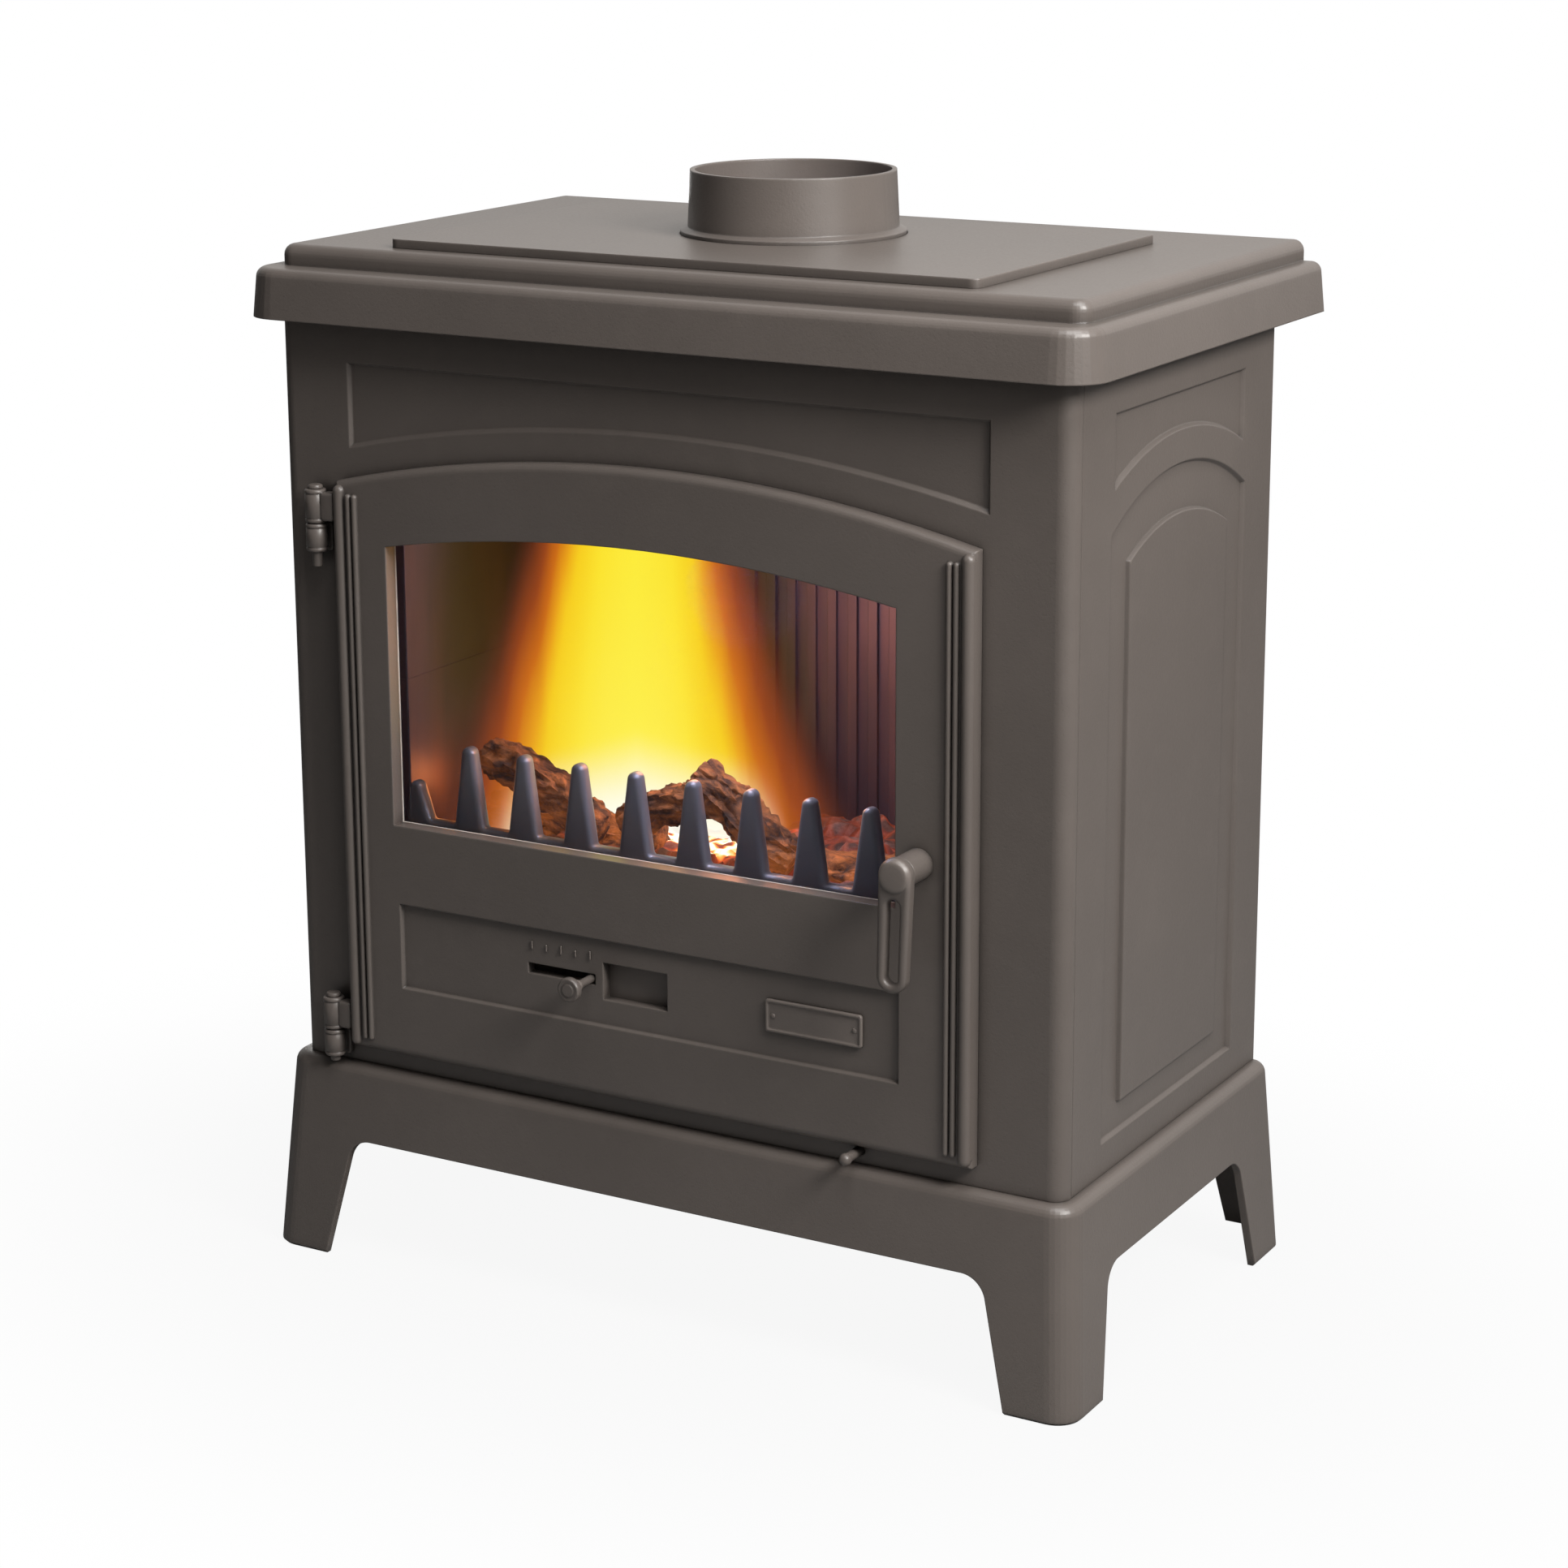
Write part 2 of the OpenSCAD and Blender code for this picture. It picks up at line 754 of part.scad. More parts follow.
module stand() color(iron) {
    difference() {
        stand_block(stand_x, stand_front, stand_back, stand_corner_r, stand_back_r, shoulder_r);
        translate([0, 0, -stand_wall])
            stand_block(stand_x - stand_wall, stand_front + stand_wall, stand_back - stand_wall,
                        stand_corner_r - stand_wall, stand_back_r - stand_wall,
                        shoulder_inner_r);
        box(-inner_x + stand_flange_w, inner_x - stand_flange_w, seam_y + stand_flange_w,
            back_y - stand_flange_w, stand_h - stand_wall - over, stand_h + over);
        upright(foot_front - over, -foot_front + over)
            apron_outline(-foot_x + leg_w, foot_x - leg_w, leg_slope_share, leg_slope_share,
                          apron_clear, apron_r);
        upright(-over, foot_back + 2 * over)
            apron_outline(-foot_x + leg_w_back, foot_x - leg_w_back, leg_slope_share,
                          leg_slope_share, apron_clear, apron_r);
        sideways(-foot_x - over, 2 * (foot_x + over))
            apron_outline(foot_front + leg_d_front, foot_back - leg_d_back, leg_slope_front_share,
                          leg_slope_back_share, apron_clear, apron_r);
        box(-foot_x + stand_wall + splay_side, foot_x - stand_wall - splay_side,
            stand_back - stand_wall, foot_back + over, -over, rear_flange_lift);
        for (sx = [-1, 1], sy = [-1, 1]) translate([sx * tie_x, sy * tie_y, 0])
            cylinder(r = tie_r + tie_play, h = stand_h + over);
    }
}

module bottom_plate() color(dark_iron) {
    difference() {
        union() {
            level(body_z, cast_t)
                front_rounded(inner_x, frame_in_y, back_y - cast_t, body_corner_r - cast_t);
            for (s = [-1, 1])
                box(s * runner_x - runner_w / 2, s * runner_x + runner_w / 2, pan_front,
                    pan_front + pan_d, body_z, pan_z);
        }
        for (i = [0:damper_slots - 1])
            damper_slot(damper_y0 + (i + damper_rest_share) * damper_pitch - damper_travel,
                        body_z - over, cast_t + 2 * over);
        for (sx = [-1, 1], sy = [-1, 1]) translate([sx * tie_x, sy * tie_y, body_z - over])
            cylinder(r = tie_r + tie_play, h = cast_t + 2 * over);
    }
}

// One air slot across the damper, with its middle at y
module damper_slot(y, z0, h) {
    box(damper_x - damper_slot_l / 2, damper_x + damper_slot_l / 2, y - damper_slot_w / 2,
        y + damper_slot_w / 2, z0, z0 + h);
}

module front_frame() color(iron) {
    difference() {
        level(body_z, body_h) difference() {
            front_rounded(body_w / 2, front_y, seam_y, body_corner_r);
            translate([0, cast_t])
                front_rounded(body_w / 2 - cast_t, front_y, seam_y, body_corner_r - cast_t);
        }
        translate([door_shift, 0, 0]) upright(front_y - over, cast_t + 2 * over)
            arched(-open_x, open_x, open_z, open_spring_z, door_rise);
        shaped_spandrel(-spandrel_x, spandrel_x, door_spring_z + spandrel_foot_up,
                        door_rise + spandrel_crown_up - spandrel_foot_up,
                        skirt_z - spandrel_top_gap, recess_rim(front_y, recess_d, recess_edge),
                        recess_rim(front_y, recess_d, arch_edge));
        translate([rod_x, front_y - over, rod_z]) rotate([-90, 0, 0])
            cylinder(r = rod_r + rod_play, h = cast_t + 2 * over);
    }
}

// Ornament of a side casting, drawn as if its outer face were at Y = 0 and looked along +Y
module side_ornament() {
    shaped_spandrel(-side_spandrel_y, side_spandrel_y, skirt_z - side_spandrel_spring_gap,
                    side_spandrel_spring_gap - side_spandrel_crown_gap,
                    skirt_z - spandrel_top_gap, recess_rim(0, recess_d, recess_edge),
                    recess_rim(0, recess_d, recess_edge));
    difference() {
        shaped_arch(-side_field_y, side_field_y, body_z + side_field_bottom,
                    skirt_z - side_field_spring_gap, side_field_spring_gap - side_field_crown_gap,
                    recess_rim(0, recess_d, recess_edge));
        shaped_arch(-side_inner_y, side_inner_y, body_z + side_inner_bottom,
                    skirt_z - side_inner_spring_gap, side_inner_spring_gap - side_inner_crown_gap,
                    [[0, recess_edge / 2], [recess_d, 0], [recess_d + over, 0]]);
    }
}

// Side casting, drawn for the right side, with its outer face at body_w / 2
module side_panel() {
    difference() {
        union() {
            box(inner_x, body_w / 2, seam_y, back_y, body_z, body_top);
            box(inner_x - shelf_w, inner_x + over, floor_front, floor_back,
                floor_z - floor_t - shelf_t, floor_z - floor_t);
        }
        translate([body_w / 2, side_middle_y, 0]) rotate([0, 0, 90]) side_ornament();
        level(body_z - over, body_h + 2 * over)
            polygon([[body_w / 2 - seam_chamfer - over, seam_y - over],
                     [body_w / 2 + over, seam_y - over],
                     [body_w / 2 + over, seam_y + seam_chamfer + over]]);
    }
}

module side_panel_right() color(iron) side_panel();
module side_panel_left() color(iron) mirror([1, 0, 0]) side_panel();

module back_panel() color(iron) {
    back_border = 24;
    rib_in = 150;
    difference() {
        box(-inner_x, inner_x, back_y - cast_t, back_y, body_z, body_top);
        for (x = [[-inner_x + back_border, -rib_in - back_border / 2],
                  [-rib_in + back_border / 2, rib_in - back_border / 2],
                  [rib_in + back_border / 2, inner_x - back_border]])
            box(x[0], x[1], back_y - recess_d, back_y + over, body_z + back_border,
                skirt_z - back_border);
    }
}

module top_plate() color(iron) {
    difference() {
        union() {
            soft_block(top_x, top_front_y, top_back_y + 2 * top_corner_r, skirt_z, ledge_z,
                       top_corner_r, top_corner_r, top_edge_r, skirt_flare);
            soft_block(tier_x, tier_front_y, top_back_y + 2 * top_corner_r, ledge_z - slice,
                       tier_z, tier_corner_r, tier_corner_r, tier_edge_r, 0);
        }
        box(-top_x - over, top_x + over, top_back_y, top_back_y + 3 * top_corner_r,
            skirt_z - over, tier_z + over);
        level(skirt_z - over, skirt_lap + over)
            front_rounded(top_x - skirt_t, top_front_y + skirt_t, top_back_y - skirt_t,
                          top_corner_r - skirt_t);
        level(body_top - over, tier_under_z - body_top + over)
            front_rounded(tier_x - top_t, tier_front_y + top_t, back_y - cast_t - tie_r,
                          top_corner_r - top_t);
        translate([0, flue_back, tier_under_z - over])
            cylinder(r = flue_spigot_r + lock_ring_w + loose, h = top_t + 2 * over);
    }
}

module flue_plate() color(iron) {
    difference() {
        level(tier_z, flue_plate_t) {
            rect(-flue_plate_w / 2 + flue_plate_r, flue_plate_w / 2 - flue_plate_r,
                 -flue_plate_d / 2, flue_plate_d / 2);
            rect(-flue_plate_w / 2, flue_plate_w / 2, -flue_plate_d / 2 + flue_plate_r,
                 flue_plate_d / 2 - flue_plate_r);
            for (sx = [-1, 1], sy = [-1, 1])
                translate([sx * (flue_plate_w / 2 - flue_plate_r),
                           sy * (flue_plate_d / 2 - flue_plate_r)]) circle(flue_plate_r);
        }
        translate([0, flue_back, tier_z - over])
            cylinder(r = flue_spigot_r + flue_spigot_fit, h = flue_plate_t + 2 * over);
        translate([0, flue_back, flue_z - flue_seat_d])
            cylinder(r = flue_flange_r + loose, h = flue_seat_d + over);
    }
}

module flue_collar() color(iron) translate([0, flue_back, 0]) rotate_extrude($fn = 128)
    polygon([[flue_bore_r, tier_z - lock_ring_h], [flue_spigot_r, tier_z - lock_ring_h],
             [flue_spigot_r, flue_z - flue_seat_d], [flue_flange_r, flue_z - flue_seat_d],
             [flue_flange_r, flue_z + flue_flange_t],
             [flue_foot_r, flue_z + 2 * flue_flange_t], [flue_r, flue_mouth_z],
             [flue_bore_r, flue_mouth_z]]);

module collar_lock_ring() color(dark_iron) translate([0, flue_back, tier_z - lock_ring_h])
    difference() {
        cylinder(r = flue_spigot_r + lock_ring_w, h = lock_ring_h, $fn = 128);
        translate([0, 0, -over])
            cylinder(r = flue_spigot_r + flue_spigot_fit, h = lock_ring_h + 2 * over, $fn = 128);
    }

module at_tie_rods() {
    for (sx = [-1, 1], sy = [-1, 1]) translate([sx * tie_x, sy * tie_y, 0]) children();
}

module tie_rods() color(steel) at_tie_rods()
    translate([0, 0, stand_h - stand_wall - tie_nut_h - tie_end])
        cylinder(r = tie_r, h = tier_under_z - stand_h + stand_wall + tie_nut_h + tie_end);

module tie_rod_nuts() color(steel) at_tie_rods()
    translate([0, 0, stand_h - stand_wall - tie_nut_h]) difference() {
        cylinder(d = tie_nut_across, h = tie_nut_h, $fn = 6);
        translate([0, 0, -over]) cylinder(r = tie_r, h = tie_nut_h + 2 * over);
    }

// Side liner plate between two levels, drawn for the right side, with lugs to the side panel
module side_liner(z0, z1) {
    box(liner_x, liner_x + liner_t, liner_front, liner_back, z0, z1);
    for (y = [liner_front + lug_in, liner_back - lug_in], z = [z0 + lug_in, z1 - lug_in])
        box(liner_x + liner_t, inner_x, y - lug_w / 2, y + lug_w / 2, z - lug_h / 2, z + lug_h / 2);
}

module liner_right_lower() color(dark_iron) side_liner(floor_z, floor_z + liner_joint);
module liner_right_upper() color(dark_iron) side_liner(floor_z + liner_joint, liner_top);
module liner_left_lower() color(dark_iron) mirror([1, 0, 0])
    side_liner(floor_z, floor_z + liner_joint);
module liner_left_upper() color(dark_iron) mirror([1, 0, 0])
    side_liner(floor_z + liner_joint, liner_top);

module liner_back() color(dark_iron) {
    ribs = floor((2 * liner_x - rib_w) / rib_pitch);
    box(-liner_x, liner_x, liner_back + rib_d, liner_back + liner_t, floor_z, liner_top);
    for (i = [0:ribs]) translate([-ribs * rib_pitch / 2 + i * rib_pitch, 0])
        box(-rib_w / 2, rib_w / 2, liner_back, liner_back + rib_d + over, floor_z, liner_top);
    for (s = [-1, 1], z = [floor_z + lug_in, liner_top - lug_in])
        translate([s * (liner_x - 2 * lug_in), 0])
            box(-lug_w / 2, lug_w / 2, liner_back + liner_t, back_y - cast_t, z - lug_h / 2,
                z + lug_h / 2);
}

module baffle_plate() color(dark_iron) {
    box(-liner_x - liner_t, liner_x + liner_t, baffle_front, liner_back + liner_t, liner_top,
        liner_top + baffle_t);
    box(-liner_x - liner_t, liner_x + liner_t, baffle_front, baffle_front + baffle_t, liner_top,
        liner_top + baffle_lip);
}

module firebox_floor() color(dark_iron) {
    difference() {
        box(-inner_x, inner_x, floor_front, floor_back, floor_z - floor_t, floor_z);
        box(-grate_w / 2 + grate_lip, grate_w / 2 - grate_lip, grate_y0 + grate_lip,
            grate_y0 + grate_d - grate_lip, floor_z - floor_t - over, floor_z + over);
        box(-grate_w / 2 - loose, grate_w / 2 + loose, grate_y0 - loose,
            grate_y0 + grate_d + loose, floor_z - grate_rebate, floor_z + over);
        at_tie_rods() translate([0, 0, floor_z - floor_t - over])
            cylinder(r = tie_r + tie_play, h = floor_t + 2 * over);
    }
}

module grate() color(dark_iron) {
    pitch = grate_slot + grate_bar;
    slots = floor((grate_w - 2 * grate_rim + grate_bar) / pitch);
    start = -(slots * pitch - grate_bar) / 2;
    difference() {
        box(-grate_w / 2, grate_w / 2, grate_y0, grate_y0 + grate_d, floor_z - grate_rebate,
            floor_z - grate_rebate + grate_t);
        for (i = [0:slots - 1]) for (half = [0, 1]) {
            slot_l = (grate_d - 3 * grate_rim) / 2;
            box(start + i * pitch, start + i * pitch + grate_slot,
                grate_y0 + grate_rim + half * (slot_l + grate_rim),
                grate_y0 + grate_rim + half * (slot_l + grate_rim) + slot_l,
                floor_z - grate_rebate - over, floor_z + grate_t + over);
        }
    }
}

// One tapered finger of the log guard, with a round tip at height h above the floor
module finger(h) {
    tip_r = finger_top_w / 2;
    translate([0, floor_z + h - tip_r]) circle(tip_r);
    polygon([[-finger_foot_w / 2, floor_z + guard_rail_h - over],
             [finger_foot_w / 2, floor_z + guard_rail_h - over],
             [tip_r, floor_z + h - tip_r], [-tip_r, floor_z + h - tip_r]]);
}

module log_guard() color(dark_iron) {
    last = (finger_n + 1) / 2;
    upright(guard_y, guard_t) {
        rect(-last * finger_pitch - guard_end, last * finger_pitch + guard_end, floor_z,
             floor_z + guard_rail_h);
        for (i = [-last:last]) translate([i * finger_pitch, 0])
            finger(abs(i) == last ? finger_h * short_finger_share : finger_h);
    }
}

module ash_pan() color(steel) {
    difference() {
        union() {
            box(-pan_w / 2, pan_w / 2, pan_front, pan_front + pan_d, pan_z, pan_z + pan_h);
            box(-pan_w / 2 - pan_rim, pan_w / 2 + pan_rim, pan_front, pan_front + pan_d,
                pan_z + pan_h - pan_t, pan_z + pan_h);
        }
        box(-pan_w / 2 + pan_t, pan_w / 2 - pan_t, pan_front + pan_t, pan_front + pan_d - pan_t,
            pan_z + pan_t, pan_z + pan_h + over);
    }
}

module ash_pan_handle() color(steel) {
    bail_w = 80;
    bail_h = 26;
    bail_t = 6;
    bail_up = 40;
    bail_out = 9;
    translate([0, 0, pan_z + bail_up]) difference() {
        box(-bail_w / 2, bail_w / 2, pan_front - bail_out, pan_front, 0, bail_h);
        box(-bail_w / 2 + bail_t, bail_w / 2 - bail_t, pan_front - bail_out - over,
            pan_front + over, bail_t, bail_h + over);
        box(-bail_w / 2 + bail_t, bail_w / 2 - bail_t, pan_front - bail_out + bail_t / 2,
            pan_front + over, -over, bail_h + over);
    }
}

module latch_keeper() color(steel) {
    difference() {
        box(open_x, open_x + keeper_w, frame_in_y, frame_in_y + keeper_t,
            handle_z - keeper_h / 2, handle_z + keeper_h / 2);
        at_keeper_screws() cylinder(r = keeper_screw_r, h = keeper_t + 2 * over);
    }
}

module at_keeper_screws() {
    for (s = [-1, 1])
        translate([open_x + keeper_w / 2, frame_in_y - over, handle_z + s * keeper_h / 3])
            rotate([-90, 0, 0]) children();
}

module keeper_screws() color(steel) at_keeper_screws()
    translate([0, 0, over]) cylinder(r = keeper_screw_r, h = keeper_t);

// Hinge knuckle round the axis, from z0 up by h
module knuckle(z0, h, bore) {
    translate([hinge_x, hinge_y, z0]) difference() {
        cylinder(r = knuckle_r, h = h);
        translate([0, 0, -over]) cylinder(r = bore, h = h + 2 * over);
    }
}

module hinge_brackets() color(iron) for (z = hinge_zs) {
    top = z - hinge_gap / 2;
    knuckle(top - body_knuckle_h, body_knuckle_h, pin_r);
    difference() {
        box(hinge_x - bracket_w / 2, hinge_x + bracket_w / 2, hinge_y, front_y,
            top - body_knuckle_h, top);
        translate([hinge_x, hinge_y, top - body_knuckle_h - over])
            cylinder(r = knuckle_r - knuckle_bite, h = body_knuckle_h + 2 * over);
    }
}

module hinge_pins() color(steel) for (i = [0, 1]) {
    foot = hinge_zs[i] - hinge_gap / 2 - body_knuckle_h - pin_tails[i];
    head = hinge_zs[i] + hinge_gap / 2 + door_knuckle_h + hinge_gap;
    translate([hinge_x, hinge_y, foot]) cylinder(r = pin_r, h = head - foot);
    translate([hinge_x, hinge_y, head]) cylinder(r = pin_head_r, h = pin_head_h);
}

module hinge_eyes() color(iron) for (z = hinge_zs) {
    foot = z + hinge_gap / 2;
    knuckle(foot, door_knuckle_h, pin_r + run_fit);
    difference() {
        box(hinge_x, -door_x, door_front + door_edge_r, hinge_y + knuckle_r - loose, foot,
            foot + door_knuckle_h);
        translate([hinge_x, hinge_y, foot - over])
            cylinder(r = knuckle_r - knuckle_bite, h = door_knuckle_h + 2 * over);
    }
}

// Half-round reeds that run up both sides of the door, with round ends
module reeds() {
    for (s = [-1, 1], i = [0:2]) {
        r = reed_width_share[i] * reed_band_w / 2;
        x = door_x - reed_place_share[i] * reed_band_w;
        y = door_front + r - reed_h * reed_height_share[i];
        foot = door_z + reed_stops[i] + r;
        length = door_h - 2 * reed_stops[i] - 2 * r;
        translate([s * x, y, foot]) {
            cylinder(r = r, h = length);
            sphere(r);
            translate([0, 0, length]) sphere(r);
        }
        box(s * x - r, s * x + r, y, i == 0 ? door_back : door_front + over, foot, foot + length);
    }
}

module door() color(iron) {
    pocket_d = 5;
    pocket_in = 10;
    difference() {
        union() {
            shaped_arch(-door_x, door_x, door_z, door_spring_z, door_rise,
                        round_rim(door_front, door_back, door_edge_r));
            reeds();
        }
        upright(door_front - over, door_t + 2 * over)
            arched(glass_x0, glass_x1, glass_z, glass_spring_z, glass_rise);
        shaped_rect(panel_x0, panel_x1, panel_z, panel_top,
                    recess_rim(door_front, recess_d, panel_edge));
        upright(door_front - over, door_t + 2 * over) {
            rect(window_x0, window_x0 + window_w, window_z, window_z + window_h);
            rect(stem_x - slide_travel - stem_r - slot_play, stem_x + stem_r + slot_play,
                 slot_z - slot_h / 2, slot_z + slot_h / 2);
        }
        for (x = [[panel_x0 + pocket_in, slider_x0 - slide_travel - guide_end - pocket_in],
                  [slider_x1 + guide_end + pocket_in, panel_x1 - pocket_in]])
            box(x[0], x[1], door_back - pocket_d, door_back + over, panel_z + pocket_in,
                panel_top - pocket_in);
        upright(door_back - seal_d, seal_d + over)
            arched_ring(-seal_x, seal_x, seal_z, seal_spring_z, door_rise, seal_w);
        translate([handle_x, door_front - over, handle_z]) rotate([-90, 0, 0])
            cylinder(d = boss_tail_d, h = door_t + 2 * over);
    }
}

module door_seal() color(rope_grey)
    upright(door_back - seal_d, seal_d + loose - gap)
        arched_ring(-seal_x, seal_x, seal_z, seal_spring_z, door_rise, seal_w);

module glass_seal() color(rope_grey)
    upright(door_back, glass_seal_t)
        arched_ring(glass_x0 - glass_lap, glass_x1 + glass_lap, glass_z - glass_lap,
                    glass_spring_z + glass_lap, glass_rise, glass_lap);

module door_glass() color([0.75, 0.78, 0.80, 0.35])
    upright(glass_face, glass_t)
        arched(glass_x0 - glass_lap, glass_x1 + glass_lap, glass_z - glass_lap,
               glass_spring_z + glass_lap, glass_rise);

// Places of the clips that hold the glass: two at each side and two below
module at_clips() {
    for (s = clip_up_share) {
        translate([glass_x0 - glass_lap, 0, glass_z + s * glass_h]) children();
        translate([glass_x1 + glass_lap, 0, glass_z + s * glass_h]) mirror([1, 0, 0]) children();
    }
    for (s = clip_across_share)
        translate([glass_x0 + s * glass_w, 0, glass_z - glass_lap]) rotate([0, -90, 0]) children();
}

// A clip stands on the door beside the glass and reaches over its edge, along +X
module glass_clips() color(steel) at_clips() difference() {
    union() {
        box(-clip_foot - loose, -loose, door_back, glass_back, -clip_w / 2, clip_w / 2);
        box(-clip_foot - loose, clip_reach, glass_back, glass_back + clip_t, -clip_w / 2, clip_w / 2);
    }
    translate([-clip_foot / 2 - loose, door_back - over, 0]) rotate([-90, 0, 0])
        cylinder(r = clip_screw_r, h = glass_back + clip_t - door_back + 2 * over);
}

module clip_screws() color(steel) at_clips() translate([-clip_foot / 2 - loose, door_back, 0])
    rotate([-90, 0, 0]) {
        cylinder(r = clip_screw_r, h = glass_back + clip_t - door_back);
        translate([0, 0, glass_back + clip_t - door_back])
            cylinder(r = clip_screw_head_r, h = clip_screw_head_h);
    }

module name_plate() color(iron) {
    upright(panel_face - plate_t, plate_t) rect(plate_x0, plate_x0 + plate_w, plate_z, plate_z + plate_h);
    upright(panel_face - plate_t - plate_t / 2, plate_t) difference() {
        rect(plate_x0, plate_x0 + plate_w, plate_z, plate_z + plate_h);
        rect(plate_x0 + plate_border, plate_x0 + plate_w - plate_border, plate_z + plate_border,
             plate_z + plate_h - plate_border);
    }
}

module name_plate_rivets() color(steel) for (s = [0, 1])
    translate([plate_x0 + rivet_in + s * (plate_w - 2 * rivet_in), panel_face - plate_t,
               plate_z + plate_h / 2])
        rotate([90, 0, 0]) cylinder(r = rivet_r, h = rivet_h);

// One rail behind the door that holds the air slider's upper edge
module slider_guide() {
    x0 = slider_x0 - slide_travel - guide_end;
    x1 = slider_x1 + guide_end;
    difference() {
        box(x0, x1, door_back, slider_face + slider_t + gap + guide_t, slider_h / 2 - guide_lip,
            slider_h / 2 + guide_w);
        box(x0 - over, x1 + over, door_back - over, slider_face + slider_t + gap,
            slider_h / 2 - guide_lip - over, slider_h / 2 + gap);
        for (x = [x0 + guide_end, x1 - guide_end])
            translate([x, door_back - over, slider_h / 2 + guide_w / 2]) rotate([-90, 0, 0])
                cylinder(r = guide_screw_r, h = guide_t + slider_t + 2 * gap + 2 * over);
    }
}

module slider_guides() color(steel) translate([0, 0, slot_z]) {
    slider_guide();
    mirror([0, 0, 1]) slider_guide();
}

module guide_screws() color(steel) {
    x0 = slider_x0 - slide_travel - guide_end;
    x1 = slider_x1 + guide_end;
    for (s = [-1, 1], x = [x0 + guide_end, x1 - guide_end])
        translate([x, door_back, slot_z + s * (slider_h / 2 + guide_w / 2)]) rotate([-90, 0, 0])
            cylinder(r = guide_screw_r, h = guide_t + slider_t + 2 * gap);
}

module air_slider() color(steel) difference() {
    box(slider_x0, slider_x1, slider_face, slider_face + slider_t, slot_z - slider_h / 2,
        slot_z + slider_h / 2);
    translate([stem_x, slider_face - over, slot_z]) rotate([-90, 0, 0])
        cylinder(r = stem_r, h = slider_t + 2 * over);
}

module slider_stem() color(steel)
    translate([stem_x, panel_face - knob_out + knob_face_t / 2, slot_z]) rotate([-90, 0, 0])
        cylinder(r = stem_r, h = slider_face + slider_t - panel_face + knob_out - knob_face_t / 2);

module slider_knob() color(iron)
    translate([stem_x, panel_face - knob_out, slot_z]) rotate([-90, 0, 0]) difference() {
        rotate_extrude() polygon([[0, 0], [knob_d / 2 - knob_edge, 0], [knob_d / 2, knob_edge],
                                  [knob_d / 2, knob_face_t - knob_edge],
                                  [knob_d / 2 - knob_edge, knob_face_t],
                                  [stem_r + knob_edge, knob_face_t + knob_edge],
                                  [stem_r + knob_edge, 2 * knob_face_t], [0, 2 * knob_face_t]]);
        translate([0, 0, knob_face_t / 2]) cylinder(r = stem_r, h = 2 * knob_face_t);
    }

module handle_boss() color(iron)
    translate([handle_x, boss_front, handle_z]) rotate([-90, 0, 0]) difference() {
        union() {
            cylinder(d = boss_d, h = boss_out);
            cylinder(d = boss_tail_d, h = boss_back - boss_front);
        }
        translate([0, 0, -over]) cylinder(r = shaft_r + run_fit, h = boss_back - boss_front + 2 * over);
    }

// Place on the handle's leaning middle line, at z above the shaft
function handle_line(z) = [handle_lean * z / handle_l, z];

// Points of an arc round c
function arc(c, r, from, to) =
    [for (i = [0:arc_steps]) let (a = from + (to - from) * i / arc_steps) c + r * [cos(a), sin(a)]];

// Outline round a circle of radius a at height za and one of radius b at height zb
module link_outline(za, zb, a, b) {
    p = handle_line(za);
    q = handle_line(zb);
    aim = atan2(q[1] - p[1], q[0] - p[0]);
    side = 90 - asin((a - b) / norm(q - p));
    polygon(concat(arc(p, a, aim + side, aim + 360 - side), arc(q, b, aim - side, aim + side)));
}

module handle() color(iron) translate([handle_x, 0, handle_z]) difference() {
    union() {
        upright(handle_back_y - handle_t, handle_t)
            link_outline(0, -handle_l, handle_head_d / 2, handle_foot_d / 2);
        translate([0, handle_back_y - handle_t + over, 0]) rotate([90, 0, 0])
            cylinder(d1 = handle_head_d - handle_head_step, d2 = handle_head_d - 2 * handle_swell,
                     h = handle_swell + over);
    }
    upright(handle_back_y - handle_t - over, handle_t + 2 * over)
        link_outline(-handle_slot_top, -handle_slot_foot, handle_slot_w / 2, handle_slot_w / 2);
    translate([0, handle_back_y - handle_t, 0]) rotate([-90, 0, 0])
        cylinder(r = shaft_r, h = handle_t + over);
}

module handle_shaft() color(steel)
    translate([handle_x, handle_back_y - handle_t, handle_z]) rotate([-90, 0, 0])
        cylinder(r = shaft_r, h = tongue_back + nut_h + shaft_tail - handle_back_y + handle_t);

// The tongue hangs down with the handle, clear of the keeper, and turns behind it to latch
module latch_tongue() color(steel) difference() {
    translate([handle_x, 0, handle_z]) upright(tongue_front, tongue_t) {
        circle(tongue_hub_r);
        rect(-tongue_w / 2, tongue_w / 2, -tongue_l + tongue_w / 2, 0);
        translate([0, -tongue_l + tongue_w / 2]) circle(tongue_w / 2);
    }
    translate([handle_x, tongue_front - over, handle_z]) rotate([-90, 0, 0])
        cylinder(r = shaft_r, h = tongue_t + 2 * over);
}

module shaft_nut() color(steel) translate([handle_x, tongue_back, handle_z]) rotate([-90, 0, 0])
    difference() {
        cylinder(d = nut_across, h = nut_h, $fn = 6);
        translate([0, 0, -over]) cylinder(r = shaft_r, h = nut_h + 2 * over);
    }

module damper_plate() color(steel) {
    z = plate_top + damper_gap;
    difference() {
        box(damper_x - damper_w / 2, damper_x + damper_w / 2, damper_y0, damper_y0 + damper_l, z,
            z + damper_t);
        for (i = [0:damper_slots - 1])
            damper_slot(damper_y0 + (i + damper_rest_share) * damper_pitch, z - over,
                        damper_t + 2 * over);
    }
    box(rod_x - damper_tab_h / 2, rod_x + damper_tab_h / 2, damper_y0, damper_y0 + damper_tab_t, z,
        z + damper_tab_h);
}

